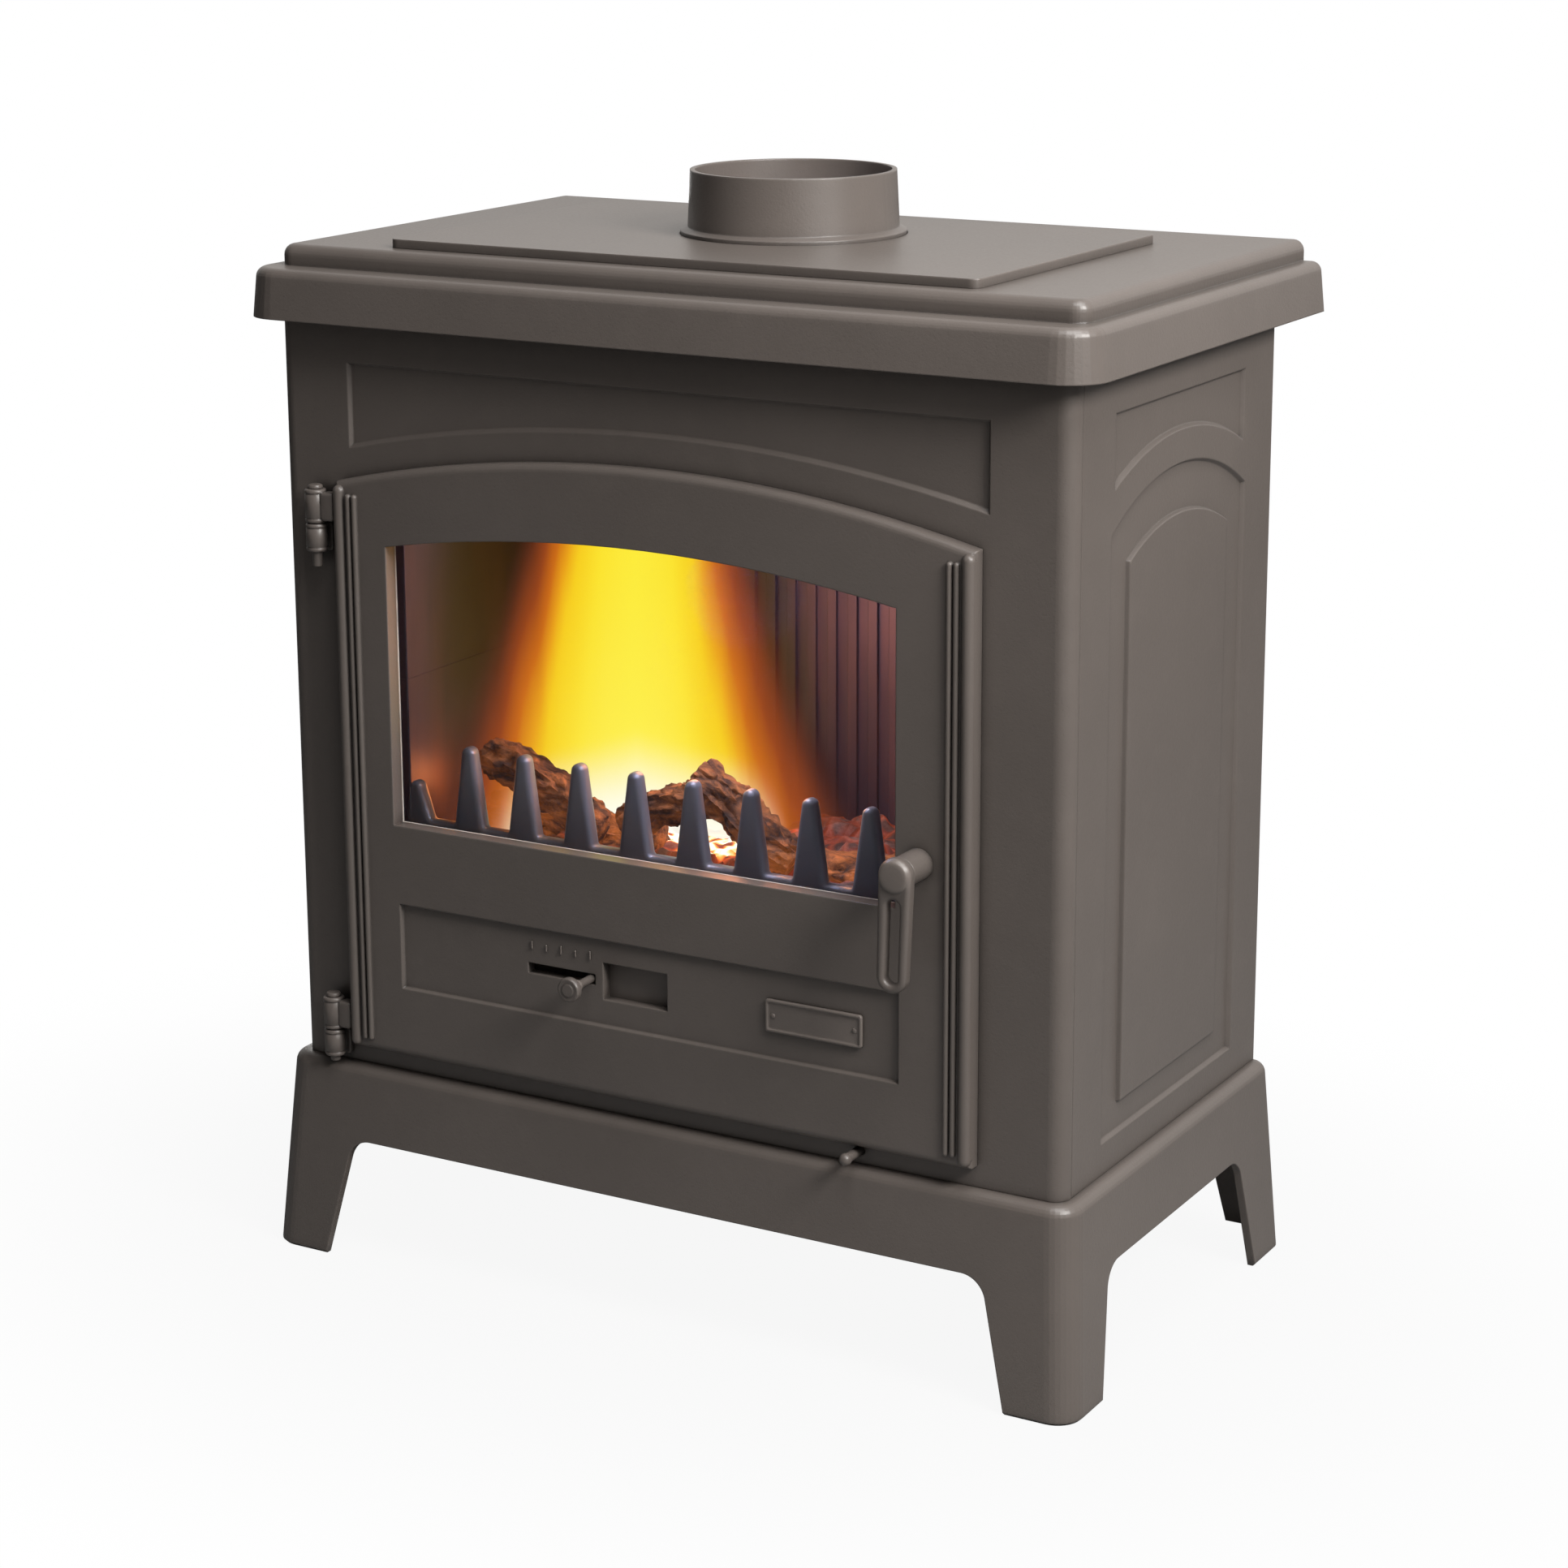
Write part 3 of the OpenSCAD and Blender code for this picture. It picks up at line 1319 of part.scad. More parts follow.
module damper_rod() color(steel) translate([rod_x, front_y - rod_out, rod_z]) rotate([-90, 0, 0])
    cylinder(r = rod_r, h = damper_y0 - front_y + rod_out);

module damper_knob() color(steel) translate([rod_x, front_y - rod_out, rod_z])
    rotate([90, 0, 0]) rotate_extrude() {
        knob_r = damper_knob_d / 2;
        a0 = -acos(rod_r / knob_r);
        polygon(concat([[0, 0]], [for (i = [0:knob_steps]) let (a = a0 + i * (90 - a0) / knob_steps)
                                  [knob_r * cos(a), knob_r * (sin(a) - sin(a0))]]));
    }

place() stand();
place() bottom_plate();
place() front_frame();
place() side_panel_left();
place() side_panel_right();
place() back_panel();
place() top_plate();
place() flue_plate();
place() flue_collar();
place() collar_lock_ring();
place() tie_rods();
place() tie_rod_nuts();
place() liner_left_lower();
place() liner_left_upper();
place() liner_right_lower();
place() liner_right_upper();
place() liner_back();
place() baffle_plate();
place() firebox_floor();
place() grate();
place() log_guard();
place() ash_pan();
place() ash_pan_handle();
hung() latch_keeper();
hung() keeper_screws();
hung() hinge_brackets();
hung() hinge_pins();
hung() door();
hung() door_seal();
hung() glass_seal();
hung() door_glass();
hung() glass_clips();
hung() clip_screws();
hung() hinge_eyes();
hung() name_plate();
hung() name_plate_rivets();
hung() slider_guides();
hung() guide_screws();
hung() handle_boss();
hung() handle();
hung() handle_shaft();
hung() latch_tongue();
hung() shaft_nut();
hung() air_slider();
hung() slider_stem();
hung() slider_knob();
place() damper_plate();
place() damper_rod();
place() damper_knob();
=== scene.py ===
"""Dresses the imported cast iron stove: castings, fittings, glass, fire, logs and the stage."""

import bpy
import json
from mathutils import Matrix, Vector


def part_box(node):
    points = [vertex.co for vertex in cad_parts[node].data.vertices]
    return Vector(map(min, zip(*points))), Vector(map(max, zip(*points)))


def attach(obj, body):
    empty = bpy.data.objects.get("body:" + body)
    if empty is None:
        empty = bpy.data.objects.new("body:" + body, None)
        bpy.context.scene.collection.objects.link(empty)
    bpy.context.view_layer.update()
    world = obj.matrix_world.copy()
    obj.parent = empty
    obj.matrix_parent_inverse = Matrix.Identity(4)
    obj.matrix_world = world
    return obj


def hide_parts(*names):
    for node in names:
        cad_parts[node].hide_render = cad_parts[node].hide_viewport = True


bl_info = {
    "name": "Cast Iron Wood Stove",
    "version": (1, 0, 0),
    "blender": (4, 5, 0),
    "location": "View3D > Sidebar > Stove",
    "description": "Finishes, fittings, fire and studio for a cast iron wood-burning stove",
    "category": "Add Mesh",
}

import json
import math
import random

import bmesh
import bpy
from bpy.props import FloatProperty, FloatVectorProperty, IntProperty, PointerProperty
from mathutils import Matrix, Vector, noise

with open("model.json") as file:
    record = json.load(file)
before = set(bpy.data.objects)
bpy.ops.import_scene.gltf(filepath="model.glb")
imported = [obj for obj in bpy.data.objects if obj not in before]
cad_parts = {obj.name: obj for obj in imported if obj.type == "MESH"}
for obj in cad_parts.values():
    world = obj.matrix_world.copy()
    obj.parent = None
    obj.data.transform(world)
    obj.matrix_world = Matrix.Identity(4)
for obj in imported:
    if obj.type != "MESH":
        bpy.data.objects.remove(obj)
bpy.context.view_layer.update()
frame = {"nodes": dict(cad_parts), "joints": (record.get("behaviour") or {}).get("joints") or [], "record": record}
NODES = frame["nodes"]

TAU = 2 * math.pi
WHITE = (1.0, 1.0, 1.0)


def with_middle(low, high):
    return low, high, (low + high) / 2


def node_box(name):
    """Lowest corner, highest corner and middle of a CAD node."""
    return with_middle(*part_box(name))


def lighter(colour, factor):
    return tuple(min(1.0, c * factor) for c in colour)


# Shader maths

class Value:
    """A node socket in a Python expression. Each operation adds its Math node."""

    def __init__(self, paint, socket):
        self.paint = paint
        self.socket = socket

    def math(self, operation, *terms):
        return self.paint.node("ShaderNodeMath", {"operation": operation}, dict(enumerate(terms)))

    def __add__(self, other):
        return self.math("ADD", self, other)

    def __sub__(self, other):
        return self.math("SUBTRACT", self, other)

    def __rsub__(self, other):
        return self.math("SUBTRACT", other, self)

    def __mul__(self, other):
        return self.math("MULTIPLY", self, other)

    __radd__ = __add__
    __rmul__ = __mul__

    def maximum(self, other):
        return self.math("MAXIMUM", self, other)

    def absolute(self):
        return self.math("ABSOLUTE", self)

    def between(self, low, high):
        """0 below low, 1 above high, with a soft step between them."""
        return self.paint.node("ShaderNodeMapRange", {"interpolation_type": "SMOOTHSTEP"},
                               {"Value": self, "From Min": low, "From Max": high})


class Paint:
    """One material or world under construction. Colours are given as red, green and blue."""

    def __init__(self, name, tree=None):
        self.material = None
        if tree is None:
            self.material = bpy.data.materials.new(name)
            self.material.use_nodes = True
            tree = self.material.node_tree
        self.tree = tree
        self.tree.nodes.clear()

    def node(self, kind, settings=None, inputs=None, out=0):
        """Adds a node: its settings first, then the values or links of its sockets."""
        made = self.tree.nodes.new(kind)
        for key, value in (settings or {}).items():
            if key == "stops":
                ramp = made.color_ramp
                while len(ramp.elements) < len(value):
                    ramp.elements.new(1.0)
                for element, (place, colour) in zip(ramp.elements, value):
                    element.position = place
                    element.color = (*colour, 1.0)
            else:
                setattr(made, key, value)
        for key, value in (inputs or {}).items():
            socket = made.inputs[key]
            if isinstance(value, Value):
                self.tree.links.new(value.socket, socket)
            else:
                socket.default_value = (*value, 1.0) if socket.type == "RGBA" else value
        return Value(self, made.outputs[out])

    def place(self):
        """The point's place on the piece, in metres."""
        return self.node("ShaderNodeTexCoord", out="Object")

    def stretched(self, scale):
        return self.node("ShaderNodeMapping", None, {"Vector": self.place(), "Scale": scale})

    def axis(self, name, vector=None):
        return self.node("ShaderNodeSeparateXYZ", None, {"Vector": vector or self.place()}, name)

    def ray(self, kind):
        """1 for this kind of ray."""
        return self.node("ShaderNodeLightPath", out=f"Is {kind} Ray")

    def noise(self, scale, detail=4.0, rough=0.55, vector=None, distortion=0.0):
        """Noise from 0 to 1; scale is the number of blotches to a metre."""
        return self.node("ShaderNodeTexNoise", None,
                         {"Vector": vector or self.place(), "Scale": scale, "Detail": detail,
                          "Roughness": rough, "Distortion": distortion})

    def cells(self, scale, feature="F1", vector=None):
        return self.node("ShaderNodeTexVoronoi", {"feature": feature},
                         {"Vector": vector or self.place(), "Scale": scale}, "Distance")

    def blend(self, share, first, second, way="MIX"):
        """Mixes two colours."""
        return self.node("ShaderNodeMix", {"data_type": "RGBA", "blend_type": way},
                         {0: share, 6: first, 7: second}, 2)

    def shade(self, share, colour, factor):
        """Multiplies a colour by a grey factor where share is high."""
        return self.blend(share, colour, (factor, factor, factor), "MULTIPLY")

    def tones(self, share, colour, first, second):
        """Goes from one brightness of a colour to another."""
        return self.blend(share, lighter(colour, first), lighter(colour, second))

    def ramp(self, value, stops):
        return self.node("ShaderNodeValToRGB", {"stops": stops}, {"Fac": value})

    def soft_edges(self, radius):
        """Normals that round off sharp edges by this radius, in metres."""
        return self.node("ShaderNodeBevel", {"samples": 6}, {"Radius": radius})

    def closed_in(self, distance, inside=False):
        """High in narrow corners, or with inside on proud edges, within this distance."""
        return 1.0 - self.node("ShaderNodeAmbientOcclusion", {"samples": 4, "inside": inside},
                               {"Distance": distance}, "AO")

    def bump(self, height, distance, normal=None, strength=1.0):
        inputs = {"Height": height, "Distance": distance, "Strength": strength}
        if normal is not None:
            inputs["Normal"] = normal
        return self.node("ShaderNodeBump", None, inputs)

    def surface(self, inputs):
        """Ends the material with a Principled shader."""
        return self.finish(self.node("ShaderNodeBsdfPrincipled", None, inputs))

    def mixed_surface(self, share, first, second, output="ShaderNodeOutputMaterial"):
        """Ends the material or world with a mix of two shaders."""
        return self.finish(self.node("ShaderNodeMixShader", None, {0: share, 1: first, 2: second}),
                           output)

    def finish(self, shader, output="ShaderNodeOutputMaterial"):
        self.tree.links.new(shader.socket, self.tree.nodes.new(output).inputs["Surface"])
        return self.material


# Finishes

def cast_paint(name, colour, grain, edge):
    """Matt heat-resistant paint over sand-cast iron: fine pitted grain, faint clouds, soft edges,
    painted shade in closed corners and a painted highlight along proud edges."""
    p = Paint(name)
    clouds = p.noise(4.0, 5.0, 0.6)
    mottle = p.noise(48.0, 4.0, 0.6)
    grain_fine = p.noise(1300.0, 2.0, 0.6)
    grain_coarse = p.noise(420.0, 3.0, 0.6)
    pits = p.cells(300.0).between(0.0, 0.35)
    dust = p.noise(9.0, 6.0, 0.7).between(0.52, 0.8)
    # Painted shade: ambient occlusion darkens the base colour in closed corners
    corners = p.closed_in(0.010).between(0.12, 0.60)
    # Painted highlight: inside ambient occlusion lightens the base colour along proud edges
    edge_highlight = p.closed_in(0.0035, True).between(0.30, 0.75)
    tone = p.tones(clouds.between(0.35, 0.7), colour, 0.94, 1.05)
    tone = p.blend(mottle.between(0.45, 0.8) * 0.3, tone, lighter(colour, 1.14))
    tone = p.blend(dust * 0.12, tone, lighter(colour, 1.6))
    tone = p.shade((1.0 - pits) * 0.2, tone, 0.75)
    # Painted shade in closed corners
    tone = p.shade(corners, tone, 0.34)
    # Painted highlight along proud edges
    tone = p.blend(edge_highlight * 0.5, tone, lighter(colour, 1.75))
    height = grain_fine * 0.3 + grain_coarse * 0.6 + pits * 0.2 + mottle * 0.25
    return p.surface({
        "Base Color": tone,
        "Roughness": grain_coarse * 0.10 + clouds * 0.08 + 0.29,
        "Specular IOR Level": 0.55,
        "Normal": p.bump(height, 0.00030 * grain, p.soft_edges(edge), 0.5),
    })


def hot_iron(name, colour, soot=0.5, edge=0.0015, rough=0.5, warm=0.2):
    """Raw casting from inside the fire: smooth heat-blued iron, brown and sooty in soft clouds."""
    p = Paint(name)
    cloud = p.noise(5.0, 4.0, 0.55, distortion=0.3)
    streak = p.noise(16.0, 4.0, 0.6, vector=p.stretched((1.0, 1.0, 0.10)))
    grain = p.noise(240.0, 3.0, 0.5)
    tone = p.tones(cloud.between(0.3, 0.7), colour, 0.8, 1.2)
    tone = p.blend(streak.between(0.4, 0.8) * warm, tone, (0.16, 0.082, 0.078))
    tone = p.shade(cloud.between(0.5, 0.8) * soot, tone, 0.55)
    return p.surface({
        "Base Color": tone,
        "Roughness": streak * 0.2 + (rough - 0.1),
        "Metallic": 0.3,
        "Normal": p.bump(grain * 0.5 + streak * 0.5, 0.00025, p.soft_edges(edge), 0.4),
    })


def plated_steel(name, colour):
    """Plated or plain steel of the small fittings: drawn lines, dull spots and a dark film."""
    p = Paint(name)
    film = p.noise(70.0, 4.0, 0.6)
    lines = p.noise(900.0, 2.0, 0.5, vector=p.stretched((0.08, 1.0, 1.0)))
    return p.surface({
        "Base Color": p.tones(film.between(0.4, 0.7), colour, 1.0, 0.62),
        "Metallic": 0.9,
        "Roughness": film * 0.25 + lines * 0.1 + 0.32,
        "Normal": p.bump(lines * 0.5 + film * 0.5, 0.0001, p.soft_edges(0.0006), 0.4),
    })


def sheet_steel(name, colour):
    """Grey sheet of the ash pan, with ash dust, scratches and a cloudy film."""
    p = Paint(name)
    dust = p.noise(14.0, 6.0, 0.65)
    scratch = p.noise(60.0, 5.0, 0.7, vector=p.stretched((0.1, 1.0, 0.7)))
    tone = p.tones(dust.between(0.4, 0.75), colour, 1.0, 1.5)
    return p.surface({
        "Base Color": p.shade(scratch.between(0.55, 0.7) * 0.5, tone, 0.7),
        "Metallic": 0.55,
        "Roughness": dust * 0.3 + 0.38,
        "Normal": p.bump(scratch + dust * 0.5, 0.0002, p.soft_edges(0.001), 0.5),
    })


def glass_rope(name, colour):
    """Knitted glass-fibre rope, fuzzy, with soiled stretches."""
    p = Paint(name)
    fuzz = p.noise(900.0, 3.0, 0.7)
    soil = p.noise(30.0, 5.0, 0.6)
    tone = p.tones(soil.between(0.35, 0.7), colour, 1.0, 0.55)
    return p.surface({
        "Base Color": p.shade(fuzz.between(0.3, 0.6) * 0.3, tone, 0.7),
        "Roughness": 0.92,
        "Normal": p.bump(fuzz, 0.0004),
    })


def stove_glass(name, tint):
    """Clear ceramic glass: a faint cool reflection, with a little haze of soot in soft clouds."""
    p = Paint(name)
    haze = p.noise(6.0, 5.0, 0.6).between(0.45, 0.85)
    clear = p.node("ShaderNodeBsdfTransparent", None, {"Color": (0.98, 0.98, 0.985)})
    gloss = p.node("ShaderNodeBsdfPrincipled", None,
                   {"Base Color": tint, "Metallic": 1.0, "Roughness": 0.05})
    edge_on = p.node("ShaderNodeFresnel", None, {"IOR": 1.35})
    return p.mixed_surface(edge_on * 0.8 + haze * 0.012, clear, gloss)


def flame_sheet(name, fire):
    """Flame: see-through glow from a heat field over the sheet's own UV map."""
    p = Paint(name)
    uv = p.node("ShaderNodeUVMap", {"uv_map": "flame"})
    across, up = p.axis("X", uv), p.axis("Y", uv)
    licks = p.noise(7.0, 3.0, 0.55, vector=p.stretched((1.0, 1.0, 0.22)), distortion=0.3)
    wisps = p.noise(46.0, 2.0, 0.5, vector=p.stretched((1.0, 1.0, 0.06)))
    # Distance from the flame's middle line, which grows faster towards the tip
    away = ((across - 0.5).absolute() * (up * 0.56 + 1.90)
            + (licks - 0.5) * 0.26 + (wisps - 0.5) * 0.08)
    colour = p.ramp(away, [(0.0, (0.98, 0.82, 0.030)), (0.26, (0.97, 0.76, 0.020)),
                           (0.43, (0.93, 0.62, 0.012)), (0.51, (0.82, 0.36, 0.008)),
                           (0.59, (0.60, 0.15, 0.006)), (0.70, (0.32, 0.060, 0.008)),
                           (0.84, (0.15, 0.032, 0.010)), (1.0, (0.06, 0.018, 0.010))])
    pale = (up.between(0.05, 0.9) * -0.5 + 0.62) * (1.0 - away.between(0.1, 0.45))
    colour = p.blend(pale * 0.6, colour, (1.0, 0.93, 0.16))
    hottest = (1.0 - (up + away * 0.16).between(0.09, 0.36)) * (1.0 - away.between(0.40, 0.66))
    return p.surface({
        "Base Color": (0.0, 0.0, 0.0),
        "Roughness": 1.0,
        "Specular IOR Level": 0.0,
        "Emission Color": p.blend(hottest, colour, (1.0, 1.0, 0.88)),
        "Emission Strength": fire.flame_strength,
        "Alpha": (1.0 - away.between(0.56, 1.0)) * fire.flame_density,
    })


def charred_bark(name, fire):
    """Burning log: brown bark charred black in patches, with a dull red heat low down."""
    p = Paint(name)
    along = p.stretched((0.35, 1.0, 1.0))
    cracks = p.cells(38.0, "DISTANCE_TO_EDGE", along)
    bark = p.noise(70.0, 6.0, 0.7, vector=along, distortion=0.8)
    patch = p.noise(22.0, 4.0, 0.55)
    tone = p.blend(bark.between(0.35, 0.68), (0.040, 0.015, 0.006), (0.36, 0.14, 0.04))
    tone = p.blend(patch.between(0.50, 0.68) * 0.75, tone, (0.022, 0.014, 0.011))
    tone = p.blend(patch.between(0.66, 0.8) * 0.4, tone, (0.34, 0.25, 0.16))
    low = 1.0 - p.axis("Z").between(fire.bed_top + 0.006, fire.bed_top + 0.036)
    return p.surface({
        "Base Color": p.shade(1.0 - cracks.between(0.0, 0.07), tone, 0.3),
        "Roughness": bark * 0.2 + 0.75,
        "Emission Color": p.blend(bark.between(0.36, 0.66) * (low * 0.45 + 0.26),
                                  (0.012, 0.004, 0.001), (0.66, 0.17, 0.022)),
        "Emission Strength": 0.55,
        "Normal": p.bump(bark * 0.7 + cracks.between(0.0, 0.1) * 0.6, 0.004),
    })


def ember_bed(name):
    """Coals and ash: grey lumps with heat between them, white-hot under the flames."""
    p = Paint(name)
    lumps = p.cells(60.0, "DISTANCE_TO_EDGE")
    ash = p.noise(40.0, 6.0, 0.7)
    hot = p.noise(9.0, 3.0, 0.5)
    middle = ((1.0 - (p.axis("X") + 0.060).absolute().between(0.030, 0.075))
              * (1.0 - (p.axis("Y") + 0.005).absolute().between(0.025, 0.055)))
    heat = ((1.1 - lumps.between(0.0, 0.30)) * (hot.between(0.25, 0.55) * 0.5 + 0.5)
            * (middle * 0.94 + 0.06))
    return p.surface({
        "Base Color": p.blend(ash.between(0.4, 0.7), (0.02, 0.019, 0.020), (0.12, 0.105, 0.10)),
        "Roughness": 0.95,
        "Emission Color": p.ramp(heat, [(0.0, (0.0, 0.0, 0.0)), (0.22, (0.45, 0.05, 0.005)),
                                        (0.5, (1.0, 0.35, 0.05)), (0.75, (1.0, 0.80, 0.45)),
                                        (1.0, (1.0, 0.96, 0.88))]),
        "Emission Strength": 1.6,
        "Normal": p.bump(lumps.between(0.0, 0.2) + ash * 0.4, 0.003),
    })


def studio_paper(name, colour):
    """Pale seamless paper. The camera sees it go white away from the stove; near it a little of
    the lamps' light and the soft shadow stay."""
    p = Paint(name)
    tooth = p.noise(900.0, 2.0, 0.5)
    sheet = p.node("ShaderNodeBsdfPrincipled", None, {
        "Base Color": p.tones(tooth * 0.04, colour, 1.0, 0.96),
        "Roughness": 0.95,
        "Specular IOR Level": 0.1,
        "Normal": p.bump(tooth, 0.0002, strength=0.2),
    })
    far = p.node("ShaderNodeVectorMath", {"operation": "LENGTH"},
                 {0: p.stretched((1.0, 1.3, 1.0))}, "Value").between(0.28, 0.95)
    white = p.node("ShaderNodeEmission", None, {"Color": WHITE, "Strength": 1.0})
    return p.mixed_surface(p.ray("Camera") * (far * 0.08 + 0.92), sheet, white)


# Mesh helpers. A shape is a mesh or a pair of vertices and faces.

def add_object(name, data):
    thing = bpy.data.objects.new(name, data)
    bpy.context.scene.collection.objects.link(thing)
    return thing


def raw_mesh(vertices, faces):
    mesh = bpy.data.meshes.new("raw_shape")
    mesh.from_pydata([tuple(v) for v in vertices], [], [tuple(f) for f in faces])
    return mesh


def piece(name, shapes, finish, body, replaces=None, sharp=38):
    """Makes one piece from shapes with the finish of this name, smooth except at edges sharper
    than an angle in degrees, and lets it ride on a body."""
    builder = bmesh.new()
    for shape in shapes:
        part = shape if isinstance(shape, bpy.types.Mesh) else raw_mesh(*shape)
        builder.from_mesh(part)
        bpy.data.meshes.remove(part)
    mesh = bpy.data.meshes.new(name)
    builder.to_mesh(mesh)
    builder.free()
    mesh.validate()
    mesh.update()
    mesh.shade_smooth()
    mesh.set_sharp_from_angle(angle=math.radians(sharp))
    mesh.materials.append(bpy.data.materials[finish])
    thing = add_object(name, mesh)
    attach(thing, body)
    if replaces:
        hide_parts(replaces)
    return thing


def solids(name):
    """Lowest corner, highest corner and middle of each separate solid of a CAD node."""
    builder = bmesh.new()
    builder.from_mesh(NODES[name].data)
    builder.transform(NODES[name].matrix_world)
    bmesh.ops.remove_doubles(builder, verts=builder.verts, dist=1e-6)
    left = set(builder.verts)
    boxes = []
    while left:
        heap = [left.pop()]
        points = []
        while heap:
            vertex = heap.pop()
            points.append(vertex.co.copy())
            others = {edge.other_vert(vertex) for edge in vertex.link_edges} & left
            left -= others
            heap += others
        boxes.append(with_middle(*(Vector(end(p[i] for p in points) for i in range(3))
                                   for end in (min, max))))
    builder.free()
    return sorted(boxes, key=lambda box: [round(box[0][i], 4) for i in (2, 0, 1)])


def placed(origin, direction):
    """A place whose Z axis points along direction."""
    return (Matrix.Translation(origin)
            @ Vector(direction).normalized().to_track_quat("Z", "Y").to_matrix().to_4x4())


def polar(radius, turn, height=0.0):
    return Vector((radius * math.cos(turn), radius * math.sin(turn), height))


def grid_faces(columns, rows):
    """Faces of a sheet of vertices laid row by row."""
    across = columns + 1
    return [(a, a + 1, a + across + 1, a + across)
            for a in range(across * rows) if (a + 1) % across]


def tube_faces(rings, sides, closed=False):
    """Faces between rings of vertices. A closed tube joins its last ring to its first."""
    total = rings * sides
    return [(a + i, a + (i + 1) % sides, (a + sides) % total + (i + 1) % sides,
             (a + sides) % total + i)
            for a in range(0, total if closed else total - sides, sides) for i in range(sides)]


def turned(profile, origin, direction, segments=48):
    """Shape of a profile of (radius, height) turned about an axis. A profile that comes back to
    its first point makes a ring."""
    place = placed(origin, direction)
    vertices, faces, rings = [], [], []
    for radius, height in profile:
        if rings and (radius, height) == profile[0]:
            rings.append(rings[0])
            continue
        count = segments if radius else 1
        rings.append(range(len(vertices), len(vertices) + count))
        vertices += [place @ polar(radius, TAU * i / segments, height) for i in range(count)]
    for lower, upper in zip(rings, rings[1:]):
        for i in range(segments):
            corners = (lower[i % len(lower)], lower[(i + 1) % len(lower)],
                       upper[(i + 1) % len(upper)], upper[i % len(upper)])
            faces.append(tuple(dict.fromkeys(corners)))
    return vertices, faces


def barrel(bore, radius, length, edge):
    """Ring profile of a hinge barrel: rounded ends and a turned groove near each of them."""
    def end(level, way):
        corner = [(radius - edge + edge * math.sin(a), level + way * (edge - edge * math.cos(a)))
                  for a in (math.pi / 2 * i / 5 for i in range(6))]
        groove = [(radius * share, level + way * edge * along)
                  for share, along in ((1.0, 1.5), (0.93, 1.75), (0.93, 2.0), (1.0, 2.3))]
        return corner + groove
    return [(bore, 0.0), *end(0.0, 1), *end(length, -1)[::-1], (bore, length), (bore, 0.0)]


def socket_head(radius, length, head_h, head_r):
    """Profile of a cap screw: shank, round head with a softened edge and a socket."""
    edge = min(head_h, head_r) * 0.22
    face = length + head_h
    shoulder = [(head_r, length)] if head_r > radius else []
    return [(0.0, 0.0), (radius, 0.0), (radius, length), *shoulder,
            (head_r, face - edge), (head_r - edge * 0.35, face - edge * 0.3), (head_r - edge, face),
            (head_r * 0.56, face), (head_r * 0.50, face - edge * 0.5),
            (head_r * 0.50, face - head_h * 0.6), (0.0, face - head_h * 0.68)]


def hexagon_nut(origin, direction, across, height, bore):
    """Nut with chamfered corners and a bore, from rings of corners and side middles."""
    place = placed(origin, direction)
    corner, flat = across / 2, across / 2 * math.cos(math.pi / 6)
    chamfer = height * 0.16
    rings = [(bore, bore, 0.0), (corner * 0.90, flat * 0.97, 0.0), (corner, flat, chamfer),
             (corner, flat, height - chamfer), (corner * 0.90, flat * 0.97, height),
             (bore, bore, height)]
    vertices = [place @ polar(side if i % 2 else tip, TAU * i / 12, level)
                for tip, side, level in rings for i in range(12)]
    return vertices, tube_faces(len(rings), 12, True)


def raised_bar(x0, x1, z0, z1, face_y, height):
    """A small bar with sloping sides that stands on a face looking to -Y."""
    inset = min(x1 - x0, z1 - z0) * 0.25
    vertices = [(x, y, z) for y, slope in ((face_y, 0.0), (face_y - height, inset))
                for x, z in ((x0 + slope, z0 + slope), (x1 - slope, z0 + slope),
                             (x1 - slope, z1 - slope), (x0 + slope, z1 - slope))]
    return vertices, [(4, 5, 6, 7), (0, 1, 5, 4), (1, 2, 6, 5), (2, 3, 7, 6), (3, 0, 4, 7)]


def arc_points(cx, cy, radius, start, end, steps=20):
    return [(cx + radius * math.cos(start + (end - start) * i / steps),
             cy + radius * math.sin(start + (end - start) * i / steps)) for i in range(steps + 1)]


def rounded_box(x0, x1, z0, z1, r):
    """Outline of a rectangle with round corners."""
    loop = []
    for cx, cz, start in ((x1 - r, z0 + r, -math.pi / 2), (x1 - r, z1 - r, 0.0),
                          (x0 + r, z1 - r, math.pi / 2), (x0 + r, z0 + r, math.pi)):
        loop += arc_points(cx, cz, r, start, start + math.pi / 2, 6)
    return loop


def link_loop(head, foot, head_r, foot_r):
    """Outline round two circles."""
    aim = math.atan2(foot[1] - head[1], foot[0] - head[0])
    side = math.pi / 2 - math.asin((head_r - foot_r) / math.dist(head, foot))
    return (arc_points(*head, head_r, aim + side, aim + TAU - side, 30)[:-1]
            + arc_points(*foot, foot_r, aim - side, aim + side, 30)[:-1])


def upright_casting(loops, y_front, y_back, edge):
    """Mesh of outlines in the X-Z plane, the inner ones holes, with every rim rounded."""
    curve = bpy.data.curves.new("outline", "CURVE")
    curve.dimensions = "2D"
    curve.fill_mode = "BOTH"
    curve.extrude = (y_back - y_front) / 2 - edge
    curve.bevel_depth = edge
    curve.bevel_resolution = 4
    curve.offset = -edge
    for loop in loops:
        spline = curve.splines.new("POLY")
        spline.points.add(len(loop) - 1)
        for point, (x, y) in zip(spline.points, loop):
            point.co = (x, y, 0.0, 1.0)
        spline.use_cyclic_u = True
    maker = add_object("outline", curve)
    bpy.context.view_layer.update()
    graph = bpy.context.evaluated_depsgraph_get()
    mesh = bpy.data.meshes.new_from_object(maker.evaluated_get(graph))
    bpy.data.objects.remove(maker)
    cleaner = bmesh.new()
    cleaner.from_mesh(mesh)
    bmesh.ops.remove_doubles(cleaner, verts=cleaner.verts, dist=1e-6)
    cleaner.to_mesh(mesh)
    cleaner.free()
    mesh.transform(Matrix.Translation((0, (y_front + y_back) / 2, 0))
                   @ Matrix.Rotation(math.pi / 2, 4, "X"))
    return mesh


# Settings

